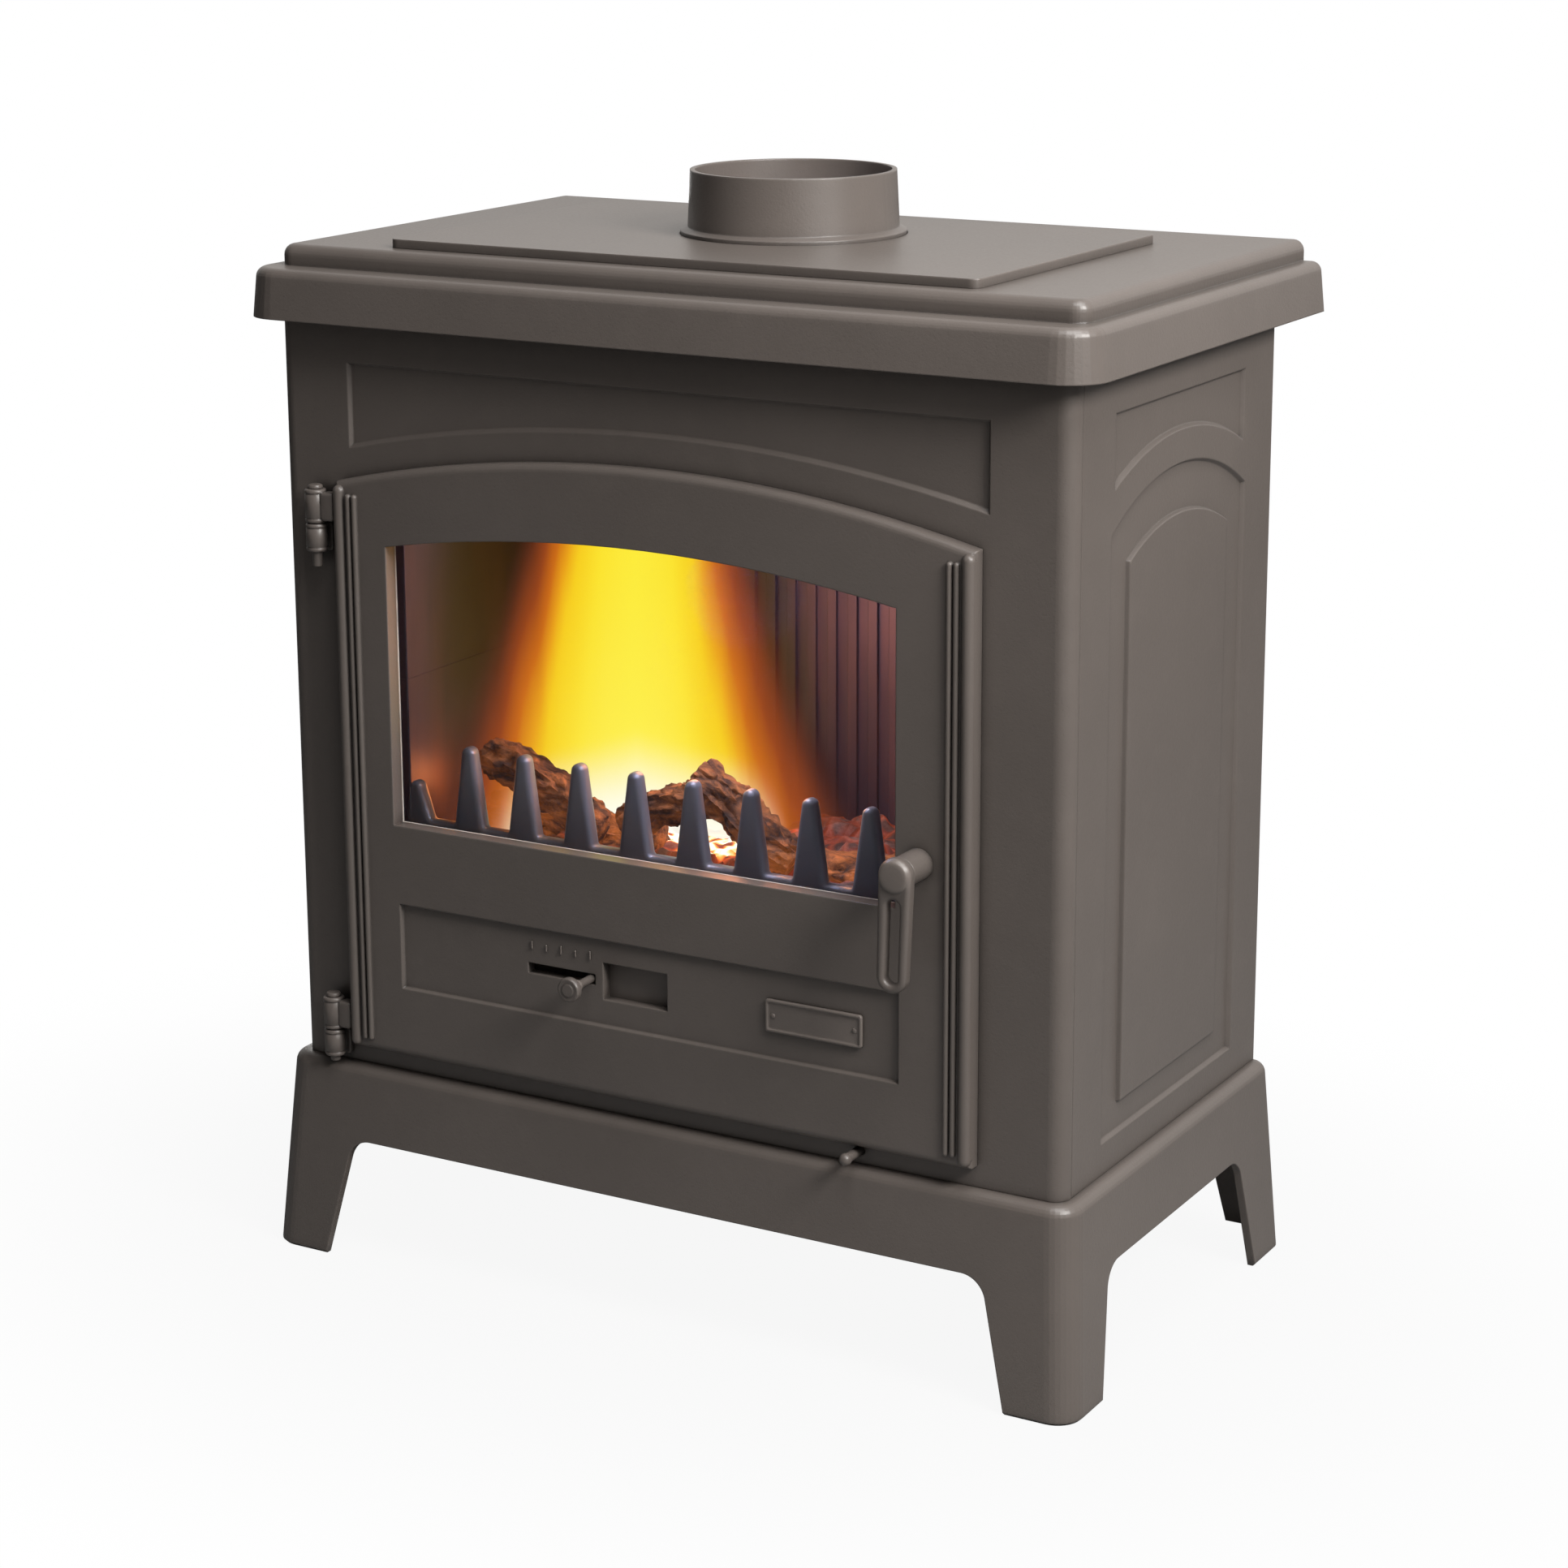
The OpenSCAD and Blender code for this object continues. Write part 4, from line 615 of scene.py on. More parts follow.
def amount(name, text, default, **limits):
    return FloatProperty(name=name, description=text, default=default, **limits)


def length(name, text, default, **limits):
    return amount(name, text, default, unit="LENGTH", **limits)


def angle(name, text, degrees):
    return amount(name, text, math.radians(degrees), subtype="ANGLE")


def colour_of(name, text, default):
    return FloatVectorProperty(name=name, description=text, default=default, subtype="COLOR",
                               size=3, min=0.0, max=1.0)


def number_of(name, text, default, low, high):
    return IntProperty(name=name, description=text, default=default, min=low, max=high)


class StoveCastings(bpy.types.PropertyGroup):
    paint: colour_of("Paint", "Colour of the matt paint on the castings", (0.112, 0.095, 0.085))
    inner: colour_of("Inner castings", "Colour of the castings inside the fire",
                     (0.062, 0.040, 0.056))
    guard: colour_of("Log guard", "Colour of the log guard's iron", (0.17, 0.18, 0.20))
    grain: amount("Grain", "Depth of the sand-cast grain", 1.0, min=0.0, max=3.0, subtype="FACTOR")
    edge: length("Edge softness", "Radius by which casting edges are softened", 0.0016, min=0.0,
                 max=0.005)


class StoveFittings(bpy.types.PropertyGroup):
    steel: colour_of("Steel", "Colour of pins, screws and nuts", (0.42, 0.41, 0.40))
    pan: colour_of("Ash pan", "Colour of the ash pan's sheet", (0.17, 0.165, 0.16))
    rope: colour_of("Rope", "Colour of the glass rope seal", (0.50, 0.47, 0.42))
    glass: colour_of("Glass", "Tint of the glass's reflection", (0.62, 0.74, 1.0))
    handle_edge: length("Handle rounding", "Radius of the handle's edges", 0.003, min=0.001,
                        max=0.003)
    twist: number_of("Rope twist", "Turns of the rope seal's strands round the door", 190, 40, 300)
    ticks: number_of("Scale ticks", "Number of raised ticks over the air slot", 5, 2, 9)


class StoveFire(bpy.types.PropertyGroup):
    sheets: number_of("Flame sheets", "Number of overlapping sheets of flame", 4, 1, 4)
    flame_strength: amount("Flame brightness", "Emission of the flames", 1.1, min=0.0, max=10.0)
    flame_density: amount("Flame density", "How much one sheet of flame hides", 0.88, min=0.0,
                          max=1.0, subtype="FACTOR")
    bed_top: length("Ember bed", "Height of the ember bed's surface", 0.322, min=0.31, max=0.36)
    logs: number_of("Logs", "Number of logs on the fire", 6, 1, 6)
    finger_edge: length("Guard rounding", "Radius of the log guard's edges", 0.0042, min=0.0005,
                        max=0.005)


class StoveStage(bpy.types.PropertyGroup):
    azimuth: angle("Azimuth", "Camera's turn to the right of the front", 29.95)
    elevation: angle("Elevation", "Camera's height angle", 14.0)
    roll: angle("Roll", "Camera's roll", -0.25)
    distance: length("Distance", "Camera's distance from its target", 2.6568)
    lens: amount("Lens", "Focal length in millimetres", 82.24)
    paper: colour_of("Paper", "Colour of the studio floor", (0.26, 0.26, 0.26))
    key: amount("Key light", "Power of the right-hand light", 57.0)
    top: amount("Top light", "Power of the overhead light", 42.0)
    back: amount("Back light", "Power of the light behind the stove", 10.0)
    fill: amount("Fill light", "Power of the front light", 2.4)
    backdrop: amount("Backdrop", "Brightness of the room's back as the castings reflect it", 0.74)
    ambient: amount("Room light", "Strength of the room's light", 0.075)


# Operators

def nodes_of(slot):
    """Names of the CAD nodes in one of the record's material slots."""
    return [part["node"] for part in frame["record"]["subparts"] if part["material_slot"] == slot]


def dress(names, material):
    """Puts a finish on CAD nodes, whose meshes stay as they are."""
    for name in names:
        NODES[name].data.materials.clear()
        NODES[name].data.materials.append(material)


class STOVE_OT_castings(bpy.types.Operator):
    """Paints the outer castings and gives the firebox its heat-marked iron"""
    bl_idname = "stove.castings"
    bl_label = "Finish castings"

    def execute(self, context):
        settings = context.scene.stove_castings
        dress(nodes_of("cast_body"),
              cast_paint("casting_paint", settings.paint, settings.grain, settings.edge))
        dress(nodes_of("cast_inner"), hot_iron("fired_iron", settings.inner, warm=0.5))
        dress(("log_guard",), hot_iron("guard_iron", settings.guard, soot=0.1, edge=0.003,
                                       rough=0.36, warm=0.05))
        return {"FINISHED"}


class STOVE_OT_hardware(bpy.types.Operator):
    """Finishes the steel fittings, the ash pan, the seals and the glass"""
    bl_idname = "stove.hardware"
    bl_label = "Finish fittings"

    def execute(self, context):
        settings = context.scene.stove_fittings
        paint = lighter(context.scene.stove_castings.paint, 0.9)
        dress(nodes_of("bright_steel"), plated_steel("fitting_steel", settings.steel))
        dress(("hinge_pins", "slider_stem", "air_slider", "name_plate_rivets", "damper_plate",
               "damper_rod", "damper_knob"), cast_paint("painted_steel", paint, 0.5, 0.0008))
        dress(("ash_pan", "ash_pan_handle"), sheet_steel("pan_sheet", settings.pan))
        dress(nodes_of("rope"), glass_rope("seal_rope", settings.rope))
        dress(nodes_of("clear_glass"), stove_glass("ceramic_glass", settings.glass))
        return {"FINISHED"}


class STOVE_OT_handle(bpy.types.Operator):
    """Casts the hanging loop handle with rounded bars and a domed head"""
    bl_idname = "stove.handle"
    bl_label = "Build handle"

    head_r, foot_r, bar = 0.0124, 0.0113, 0.0064
    # How far the loop leans to the left, its depth, and from the shaft down to the gap in the loop
    lean, depth, gap_top = 0.0022, 0.010, 0.0215
    # Shares of the head's radius and of its swell
    dome = ((0.0, -2.0), (0.90, -2.0), (0.90, 0.1), (0.87, 0.55), (0.78, 0.85), (0.60, 0.97),
            (0.0, 1.0))

    def execute(self, context):
        low, high, _ = node_box("handle")
        shaft = node_box("handle_shaft")[2]
        foot = (shaft.x - self.lean, shaft.z - (shaft.z - low.z - self.foot_r))
        gap_r = self.foot_r - self.bar
        face_y = high.y - self.depth
        loops = [link_loop((shaft.x, shaft.z), foot, self.head_r, self.foot_r),
                 link_loop((shaft.x - self.lean * 0.3, shaft.z - self.gap_top), foot, gap_r, gap_r)]
        edge = min(context.scene.stove_fittings.handle_edge, self.bar * 0.48)
        swell = face_y - low.y
        cap = turned([(self.head_r * share, swell * tall) for share, tall in self.dome],
                     (shaft.x, face_y, shaft.z), (0, -1, 0), 40)
        piece("handle_casting", [upright_casting(loops, face_y, high.y, edge), cap],
              "casting_paint", "door_handle", "handle", 60)
        return {"FINISHED"}


class STOVE_OT_air_control(bpy.types.Operator):
    """Turns the air slider's knob and raises the plain ticks over its slot"""
    bl_idname = "stove.air_control"
    bl_label = "Build air control"

    # Height of a tick's foot over the knob's middle, its height, half its width, what an even
    # tick is taller by, and the depth of the door's face behind its foremost edge
    foot, tall, half, step = 0.0145, 0.0065, 0.0007, 0.0012
    face_depth = 0.0065

    def execute(self, context):
        low, high, knob = node_box("slider_knob")
        r = (high.x - low.x) / 2
        depth = high.y - low.y
        profile = [(0.0, 0.0), (r * 0.52, 0.0), (r * 0.55, 0.0007), (r * 0.88, 0.0004),
                   (r * 0.97, 0.0011), (r, 0.0024), (r, depth * 0.36), (r * 0.93, depth * 0.44),
                   (r * 0.62, depth * 0.50), (r * 0.46, depth * 0.62), (r * 0.42, depth * 0.80),
                   (r * 0.50, depth * 0.97), (0.0, depth)]
        piece("air_knob", [turned(profile, (knob.x, low.y, knob.z), (0, 1, 0))],
              "casting_paint", "air_control", "slider_knob")
        face = node_box("door")[0].y + self.face_depth
        travel = next(j["range_m"][1] for j in frame["joints"] if j["name"] == "air_slide")
        count = context.scene.stove_fittings.ticks
        bars = []
        for i in range(count):
            x, z = knob.x - travel * i / (count - 1), knob.z + self.foot
            bars.append(raised_bar(x - self.half, x + self.half, z,
                                   z + self.tall - self.step * (i % 2), face, self.half))
        piece("air_scale_ticks", bars, "casting_paint", "door")
        return {"FINISHED"}


class STOVE_OT_hinges(bpy.types.Operator):
    """Turns the hinge barrels with grooved, rounded ends and shapes their arms and pins"""
    bl_idname = "stove.hinges"
    bl_label = "Build hinges"

    edge = 0.0018       # rounding of the barrels and arms
    overhang = 0.0015   # of a pin's head over its shank
    play = 0.00005      # of an eye on its pin

    def execute(self, context):
        pins = solids("hinge_pins")
        axis = pins[0][2]
        pin_r = pins[0][1].x - axis.x - self.overhang

        def upright(profile, low, segments=40):
            return turned(profile, (axis.x, axis.y, low.z), (0, 0, 1), segments)

        eyes, brackets, shanks = [], [], []
        for low, high, _ in solids("hinge_eyes"):
            r = axis.x - low.x
            arm = rounded_box(axis.x + r * 0.80, high.x, low.z + 0.002, high.z - 0.002, 0.003)
            eyes += [upright(barrel(pin_r + self.play, r, high.z - low.z, self.edge), low),
                     upright_casting([arm], axis.y - r * 0.55, axis.y + r * 0.75, self.edge)]
        for low, high, _ in solids("hinge_brackets"):
            r = axis.y - low.y
            foot = rounded_box(low.x, high.x, low.z, high.z, 0.0025)
            brackets += [upright(barrel(pin_r, r, high.z - low.z, self.edge), low),
                         upright_casting([foot], axis.y + r * 0.70, high.y, 0.0007)]
        for low, high, _ in pins:
            tall, head_r = high.z - low.z, high.x - axis.x
            profile = [(0.0, 0.0), (pin_r * 0.62, 0.0), (pin_r * 0.92, 0.0008), (pin_r, 0.0020),
                       (pin_r, tall - 0.003), (head_r, tall - 0.003), (head_r, tall - 0.0016),
                       (head_r * 0.9, tall - 0.0006), (head_r * 0.6, tall - 0.0001), (0.0, tall)]
            shanks.append(upright(profile, low, 36))
        piece("hinge_eye_castings", eyes, "casting_paint", "door", "hinge_eyes", 50)
        piece("hinge_bracket_castings", brackets, "casting_paint", "stove", "hinge_brackets",
              50)
        piece("turned_hinge_pins", shanks, "painted_steel", "stove", "hinge_pins")
        return {"FINISHED"}


class STOVE_OT_name_plate(bpy.types.Operator):
    """Casts the bare name plate with a raised round border and sets its two rivets"""
    bl_idname = "stove.name_plate"
    bl_label = "Build name plate"

    rim = 0.0024   # width of the border

    def execute(self, context):
        low, high, _ = node_box("name_plate")
        rim = self.rim
        outline = rounded_box(low.x, high.x, low.z, high.z, 0.0022)
        inner = rounded_box(low.x + rim, high.x - rim, low.z + rim, high.z - rim, 0.0012)
        base = upright_casting([outline], low.y + 0.0010, high.y, 0.0006)
        border = upright_casting([outline, inner], low.y, low.y + 0.0022, 0.0010)
        piece("cast_name_plate", [base, border], "casting_paint", "door", "name_plate",
              50)
        domes = []
        for low, high, centre in solids("name_plate_rivets"):
            r, tall = (high.x - low.x) / 2, high.y - low.y
            dome = [(r * math.cos(a), tall * math.sin(a))
                    for a in (math.pi / 2 * i / 6 for i in range(1, 6))]
            domes.append(turned([(0.0, 0.0), (r, 0.0), *dome, (0.0, tall)],
                                (centre.x, high.y, centre.z), (0, -1, 0), 28))
        piece("plate_rivets", domes, "painted_steel", "door", "name_plate_rivets")
        return {"FINISHED"}


class STOVE_OT_fasteners(bpy.types.Operator):
    """Cuts sockets and chamfers into the screws and nuts"""
    bl_idname = "stove.fasteners"
    bl_label = "Build fasteners"

    # Body, radius of the head (0 for a screw as thick as its head) and its height
    screws = {"clip_screws": ("door", 0.0040, 0.0025), "guide_screws": ("door", 0.0, 0.0016),
              "keeper_screws": ("stove", 0.0, 0.0012)}
    # Body, bore and direction
    nuts = {"tie_rod_nuts": ("stove", 0.004, (0, 0, 1)),
            "shaft_nut": ("door_handle", 0.005, (0, 1, 0))}

    def execute(self, context):
        for name, (body, head_r, head_h) in self.screws.items():
            parts = []
            for low, high, centre in solids(name):
                r = head_r * 0.625 if head_r else (high.x - low.x) / 2
                profile = socket_head(r, high.y - low.y - head_h, head_h, head_r or r)
                parts.append(turned(profile, (centre.x, low.y, centre.z), (0, 1, 0), 24))
            piece("cut_" + name, parts, "fitting_steel", body, name, 30)
        for name, (body, bore, direction) in self.nuts.items():
            parts = []
            for low, high, centre in solids(name):
                along = Vector(direction)
                height = (high - low).dot(along)
                parts.append(hexagon_nut(centre - along * height / 2, direction, high.x - low.x,
                                         height, bore))
            piece("cut_" + name, parts, "fitting_steel", body, name, 20)
        return {"FINISHED"}


class STOVE_OT_rope_seal(bpy.types.Operator):
    """Lays the twisted rope seal into the groove behind the door"""
    bl_idname = "stove.rope_seal"
    bl_label = "Build rope seal"

    rise = 0.0315    # of the arch over its springing
    width = 0.008
    step = 0.0016    # between the rope's rings
    sides = 14

    def execute(self, context):
        twist = context.scene.stove_fittings.twist
        low, high, middle = node_box("door_seal")
        path = self.path(low, high)
        thick = (high.y - low.y) / 2
        vertices = []
        count = len(path)
        for j, (x, z) in enumerate(path):
            before, after = path[j - 1], path[(j + 1) % count]
            along = Vector((after[0] - before[0], 0, after[1] - before[1])).normalized()
            out = Vector((along.z, 0, -along.x))
            for i in range(self.sides):
                a = TAU * i / self.sides
                strand = 1.0 - 0.13 * (0.5 + 0.5 * math.cos(3 * a - TAU * j * twist / count))
                vertices.append(Vector((x, middle.y, z))
                                + out * (self.width / 2 * strand * math.cos(a))
                                + Vector((0, thick * strand * math.sin(a), 0)))
        faces = [(a, d, c, b) for a, b, c, d in tube_faces(count, self.sides, True)]
        piece("twisted_rope_seal", [(vertices, faces)], "seal_rope", "door", "door_seal",
              80)
        return {"FINISHED"}

    def path(self, low, high):
        """Points of the seal's middle line, from the upper left corner down and round."""
        inset = self.width / 2
        x0, x1, z0 = low.x + inset, high.x - inset, low.z + inset
        half = (high.x - low.x) / 2
        radius = (half * half + self.rise * self.rise) / (2 * self.rise)
        centre = ((x0 + x1) / 2, high.z - radius)
        radius -= inset
        reach = math.asin((x1 - x0) / 2 / radius)
        spring = centre[1] + radius * math.cos(reach)
        line = []
        corners = ((x0, spring), (x0, z0), (x1, z0), (x1, spring))
        for start, end in zip(corners, corners[1:]):
            count = int(math.dist(start, end) / self.step)
            line += [Vector(start).lerp(end, i / count) for i in range(count)]
        count = int(2 * reach * radius / self.step)
        return line + arc_points(*centre, radius, math.pi / 2 - reach, math.pi / 2 + reach,
                                 count)[:-1]


class STOVE_OT_log_guard(bpy.types.Operator):
    """Casts the log guard with rounded, tapered fingers"""
    bl_idname = "stove.log_guard"
    bl_label = "Build log guard"

    # Rail height, finger half-widths at the rail and at the tip, rail's end beyond the last finger
    rail, foot, tip, end = 0.034, 0.013, 0.0055, 0.009
    fingers = 11
    short = 0.66     # height of the outer fingers as a share of the others'
    fillet = 0.0012, 0.0015

    def execute(self, context):
        low, high, middle = node_box("log_guard")
        last = (self.fingers - 1) // 2
        pitch = ((high.x - low.x) / 2 - self.end) / last
        tall = high.z - low.z
        level = low.z + self.rail
        wide, rise = self.fillet
        loop = [(low.x, low.z), (high.x, low.z), (high.x, level)]
        for i in range(last, -last - 1, -1):
            x = middle.x + i * pitch
            top = low.z + (tall * self.short if abs(i) == last else tall)
            right, left = min(x + self.foot, high.x), max(x - self.foot, low.x)
            if abs(i) < last or right < high.x:
                loop.append((right + wide, level))
            loop.append((right, level + rise))
            loop += arc_points(x, top - self.tip, self.tip, 0.12, math.pi - 0.12, 14)
            loop.append((left, level + rise))
            if abs(i) < last or left > low.x:
                loop.append((left - wide, level))
        loop.append((low.x, level))
        mesh = upright_casting([loop], low.y, high.y, context.scene.stove_fire.finger_edge)
        piece("guard_casting", [mesh], "guard_iron", "stove", "log_guard", 60)
        return {"FINISHED"}


class STOVE_OT_logs(bpy.types.Operator):
    """Lays burning logs on the grate behind the guard"""
    bl_idname = "stove.logs"
    bl_label = "Lay logs"

    # Ends and radius of each log, in metres
    stack = (((-0.206, -0.072, 0.381), (-0.098, -0.086, 0.336), 0.0165),
             ((-0.078, -0.084, 0.340), (-0.006, -0.076, 0.383), 0.0150),
             ((-0.020, -0.075, 0.384), (0.060, -0.073, 0.338), 0.0165),
             ((-0.218, -0.050, 0.328), (-0.070, -0.048, 0.324), 0.0190),
             ((0.002, -0.050, 0.324), (0.175, -0.040, 0.320), 0.0180),
             ((-0.215, 0.084, 0.326), (-0.040, 0.092, 0.330), 0.0220))
    rings, sides = 46, 36

    def execute(self, context):
        fire = context.scene.stove_fire
        charred_bark("charred_bark", fire)
        for number, (start, end, radius) in enumerate(self.stack[:fire.logs]):
            log = self.log(Vector(start), Vector(end), radius, number)
            piece(f"fire_log_{number + 1}", [log], "charred_bark", "stove", sharp=50)
        return {"FINISHED"}

    def log(self, start, end, radius, seed):
        """A crooked, split log with rough bark and broken ends."""
        rings, sides = self.rings, self.sides
        axis = end - start
        turn = axis.to_track_quat("Z", "Y").to_matrix()
        vertices = []
        for j in range(rings + 1):
            t = j / rings
            spine = start + axis * t + Vector((0, 0, 0.006 * math.sin(3 * t + seed)))
            end_taper = 1.0 - 0.22 * (abs(2 * t - 1) ** 7)
            for i in range(sides):
                a = TAU * i / sides
                out = polar(1.0, a)
                sample = out * 1.3 + Vector((0, 0, t * 3.0 + 9 * seed))
                rough = noise.fractal(sample * 1.6, 0.6, 2.2, 5) * 0.30
                ridge = 0.10 * abs(math.sin(4.0 * a + 3 * noise.noise(sample * 2)))
                split = 0.84 if math.cos(a - seed) > 0.55 else 1.0
                r = radius * (1.0 + rough - ridge) * split * end_taper
                vertices.append(spine + turn @ (out * r))
        faces = tube_faces(rings + 1, sides)
        for ring, step in ((0, -1), (rings, 1)):
            centre = len(vertices)
            vertices.append(start + axis * (ring / rings) + axis.normalized() * 0.003 * step)
            a = ring * sides
            faces += [(centre, a + i, a + (i + 1) % sides)[::1 if step > 0 else -1]
                      for i in range(sides)]
        return vertices, faces


class STOVE_OT_embers(bpy.types.Operator):
    """Heaps glowing embers and ash on the grate"""
    bl_idname = "stove.embers"
    bl_label = "Heap embers"

    half_width = 0.25
    past_grate, off_liner = 0.006, 0.004   # in front and behind
    clear = 0.0006                         # of the grate's top
    columns, rows = 130, 56

    def execute(self, context):
        grate_low, grate_high, _ = node_box("grate")
        base = grate_high.z
        rise = context.scene.stove_fire.bed_top - base
        front = grate_low.y - self.past_grate
        back = node_box("liner_back")[0].y - self.off_liner
        vertices = []
        for j in range(self.rows + 1):
            for i in range(self.columns + 1):
                u, v = i / self.columns, j / self.rows
                x, y = self.half_width * (2 * u - 1), front + (back - front) * v
                mound = min(1.0, 7.0 * min(u, 1 - u, 1.5 * v, 1 - v))
                lump = noise.cell(Vector((x * 60, y * 60, 0.5))) * 0.5 + noise.fractal(
                    Vector((x * 34, y * 34, 3.1)), 0.7, 2.1, 4)
                height = rise * mound * (0.75 + 0.45 * lump)
                vertices.append((x, y, base + self.clear + max(0.0, height)))
        ember_bed("ember_bed")
        piece("ember_heap", [(vertices, grid_faces(self.columns, self.rows))], "ember_bed",
              "stove", sharp=80)
        return {"FINISHED"}


class STOVE_OT_flames(bpy.types.Operator):
    """Raises overlapping sheets of flame from the logs"""
    bl_idname = "stove.flames"
    bl_label = "Raise flames"

    # Foot's place, width, height, yaw in degrees, lean and curl of each sheet, in metres
    tongues = (((-0.102, -0.020, 0.300), 0.356, 0.290, 30, -0.006, 0.008),
               ((-0.115, 0.003, 0.300), 0.342, 0.292, 30, -0.006, 0.006),
               ((-0.128, 0.026, 0.300), 0.326, 0.294, 30, -0.006, 0.004),
               ((-0.142, 0.066, 0.300), 0.300, 0.290, -12, 0.000, 0.004))
    columns, rows = 22, 34
    narrowing = 0.44   # share of the width lost at the tip
    first_seed = 11

    def execute(self, context):
        fire = context.scene.stove_fire
        flame_sheet("flame", fire)
        for number, tongue in enumerate(self.tongues[:fire.sheets]):
            self.sheet(f"flame_{number + 1}", self.first_seed + number, *tongue)
        return {"FINISHED"}

    def sheet(self, name, seed, foot, width, height, yaw, lean, curl):
        """One curved sheet of flame, narrower towards its tip, with its own UV map."""
        phase = random.Random(seed).uniform(0, TAU)
        turn = Matrix.Rotation(math.radians(yaw), 4, "Z")
        vertices, uvs = [], []
        for j in range(self.rows + 1):
            v = j / self.rows
            half = width / 2 * (1.0 - self.narrowing * v)
            sway = lean * v + 0.003 * math.sin(phase + 5.0 * v)
            for i in range(self.columns + 1):
                u = i / self.columns
                side = 2 * u - 1
                bend = (curl * (side * side - 0.4)
                        + 0.005 * math.sin(phase + 4.0 * side + 6.0 * v))
                vertices.append(Vector(foot)
                                + turn @ Vector((side * half + sway, bend, v * height)))
                uvs.append((u, v))
        mesh = piece(name, [(vertices, grid_faces(self.columns, self.rows))], "flame", "stove",
                     sharp=180).data
        layer = mesh.uv_layers.new(name="flame")
        for loop in mesh.loops:
            layer.data[loop.index].uv = uvs[loop.vertex_index]


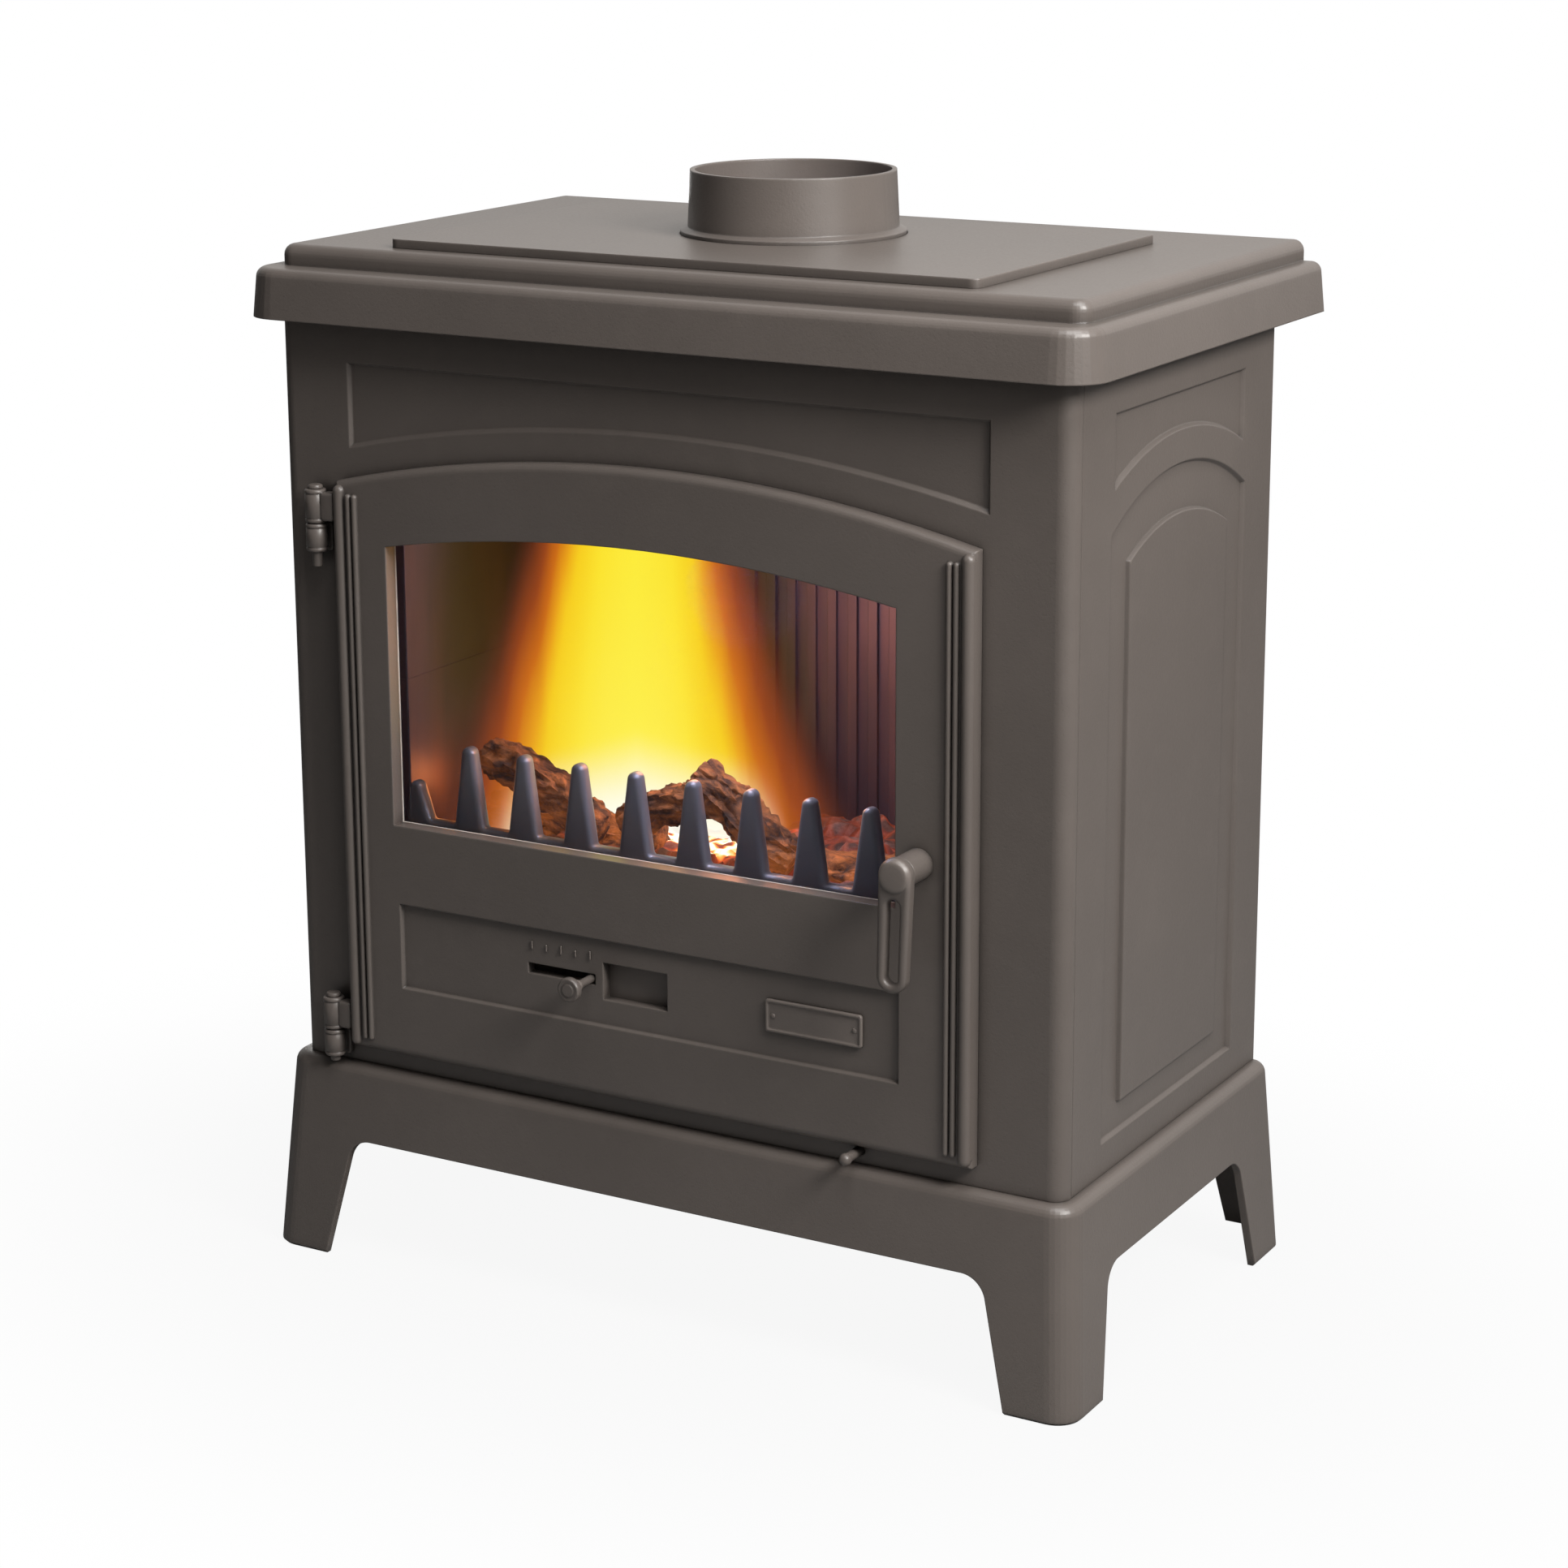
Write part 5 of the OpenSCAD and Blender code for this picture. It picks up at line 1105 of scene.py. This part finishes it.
class STOVE_OT_stage(bpy.types.Operator):
    """Sets the pale floor, the white room, the lights and the camera"""
    bl_idname = "stove.stage"
    bl_label = "Set stage"

    floor_size = 14.0
    # The side panels' middle lies this far behind the body's middle, at their seam with the front
    seam_offset = 0.00625
    # What the camera looks at: its height, and its place to the right of the body's middle
    aim_height, aim_right = 0.43743, 0.00649
    shift_up = -0.060

    def execute(self, context):
        settings = context.scene.stove_stage
        self.floor(settings)
        self.room(context.scene, settings)
        self.lights(settings)
        self.camera(context.scene, settings)
        return {"FINISHED"}

    def floor(self, settings):
        size = self.floor_size
        mesh = raw_mesh([(-size, -size, 0.0), (size, -size, 0.0), (size, size, 0.0),
                         (-size, size, 0.0)], [(0, 1, 2, 3)])
        mesh.materials.append(studio_paper("studio_paper", settings.paper))
        add_object("studio_floor", mesh)

    def room(self, scene, settings):
        """White to the camera and through glass. To all else the back of the room is bright and
        the photographer's side is dark."""
        scene.world = bpy.data.worlds.new("white_room")
        scene.world.use_nodes = True
        p = Paint(None, scene.world.node_tree)
        back = p.axis("Y", p.node("ShaderNodeTexCoord", out="Generated")).between(-0.1, 0.75)
        light = p.node("ShaderNodeBackground", None, {
            "Color": (1.0, 0.965, 0.93),
            "Strength": p.ray("Glossy") * back * settings.backdrop + settings.ambient})
        white = p.node("ShaderNodeBackground", None, {"Color": WHITE, "Strength": 1.0})
        p.mixed_surface(p.ray("Camera").maximum(p.ray("Transmission")), light, white,
                        "ShaderNodeOutputWorld")

    def lights(self, settings):
        # Name, place, what it faces, size, power and colour of each panel
        for name, place, target, size, power, colour in (
                ("key_panel", (1.85, -0.66, 1.75), (0.2, 0.0, 0.62), (0.7, 0.7), settings.key,
                 (1.0, 0.985, 0.96)),
                ("rear_panel", (-1.4, 1.9, 0.35), (0.0, 0.15, 0.40), (1.0, 0.5), settings.back,
                 (1.0, 0.99, 0.97)),
                ("top_panel", (0.8, -0.45, 2.45), (0.1, 0.0, 0.75), (1.4, 1.2), settings.top,
                 WHITE),
                ("front_panel", (1.05, -0.95, 1.15), (0.28, -0.15, 0.5), (0.5, 0.5),
                 settings.fill, (1.0, 0.99, 0.97))):
            lamp = self.lamp(name, "AREA", place, power, colour)
            lamp.data.shape = "RECTANGLE"
            lamp.data.size, lamp.data.size_y = size
            aim = Vector(target) - Vector(place)
            lamp.rotation_euler = aim.to_track_quat("-Z", "Y").to_euler()
        # Small lamps in the firebox: the fire's light on the liners, and daylight by the glass
        for name, place, power, radius, colour in (
                ("fire_glow", (-0.05, -0.01, 0.46), 1.3, 0.05, (1.0, 0.36, 0.18)),
                ("ember_glow_left", (-0.236, -0.058, 0.350), 0.09, 0.014, (1.0, 0.30, 0.06)),
                ("ember_glow_right", (0.095, 0.088, 0.370), 0.08, 0.014, (1.0, 0.32, 0.08)),
                ("window_light", (0.03, -0.103, 0.535), 2.0, 0.05, (0.80, 0.74, 0.90))):
            self.lamp(name, "POINT", place, power, colour).data.shadow_soft_size = radius

    def lamp(self, name, kind, place, power, colour):
        light = bpy.data.lights.new(name, kind)
        light.energy = power
        light.color = colour
        lamp = add_object(name, light)
        lamp.location = place
        return lamp

    def camera(self, scene, settings):
        az, el, roll = settings.azimuth, settings.elevation, settings.roll
        back = Vector((math.sin(az) * math.cos(el), -math.cos(az) * math.cos(el), math.sin(el)))
        right = Vector((math.cos(az), math.sin(az), 0.0))
        up = back.cross(right)
        axes = (right * math.cos(roll) + up * math.sin(roll),
                up * math.cos(roll) - right * math.sin(roll), back)
        seam_y = node_box("side_panel_right")[2].y - self.seam_offset
        target = Vector((0.0, seam_y, self.aim_height)) + right * self.aim_right
        lens = bpy.data.cameras.new("photo_camera")
        lens.lens = settings.lens
        lens.sensor_width = 36.0
        lens.shift_y = self.shift_up
        lens.clip_end = 60.0
        camera = add_object("photo_camera", lens)
        camera.matrix_world = Matrix(axes).transposed().to_4x4()
        camera.location = target + back * settings.distance
        scene.camera = camera
        scene.view_settings.view_transform = "Standard"


class STOVE_PT_panel(bpy.types.Panel):
    """Lists the stove's pieces and the stage"""
    bl_idname = "STOVE_PT_panel"
    bl_label = "Stove"
    bl_space_type = "VIEW_3D"
    bl_region_type = "UI"
    bl_category = "Stove"

    def draw(self, context):
        for group in GROUPS:
            settings = getattr(context.scene, group)
            box = self.layout.box()
            for name in settings.bl_rna.properties.keys():
                if name not in ("rna_type", "name"):
                    box.prop(settings, name)
        for operator in OPERATORS:
            self.layout.operator(operator.bl_idname)


OPERATORS = (STOVE_OT_castings, STOVE_OT_hardware, STOVE_OT_handle, STOVE_OT_air_control,
             STOVE_OT_hinges, STOVE_OT_name_plate, STOVE_OT_fasteners, STOVE_OT_rope_seal,
             STOVE_OT_log_guard, STOVE_OT_embers, STOVE_OT_logs, STOVE_OT_flames, STOVE_OT_stage)
GROUPS = {"stove_castings": StoveCastings, "stove_fittings": StoveFittings,
          "stove_fire": StoveFire, "stove_stage": StoveStage}
CLASSES = (*GROUPS.values(), *OPERATORS, STOVE_PT_panel)


def register():
    for kind in CLASSES:
        bpy.utils.register_class(kind)
    for name, group in GROUPS.items():
        setattr(bpy.types.Scene, name, PointerProperty(type=group))


def unregister():
    for name in GROUPS:
        delattr(bpy.types.Scene, name)
    for kind in reversed(CLASSES):
        bpy.utils.unregister_class(kind)


def main():
    register()
    bpy.ops.stove.castings()
    bpy.ops.stove.hardware()
    bpy.ops.stove.handle()
    bpy.ops.stove.air_control()
    bpy.ops.stove.hinges()
    bpy.ops.stove.name_plate()
    bpy.ops.stove.fasteners()
    bpy.ops.stove.rope_seal()
    bpy.ops.stove.log_guard()
    bpy.ops.stove.embers()
    bpy.ops.stove.logs()
    bpy.ops.stove.flames()
    bpy.ops.stove.stage()


if __name__ == "__main__":
    main()
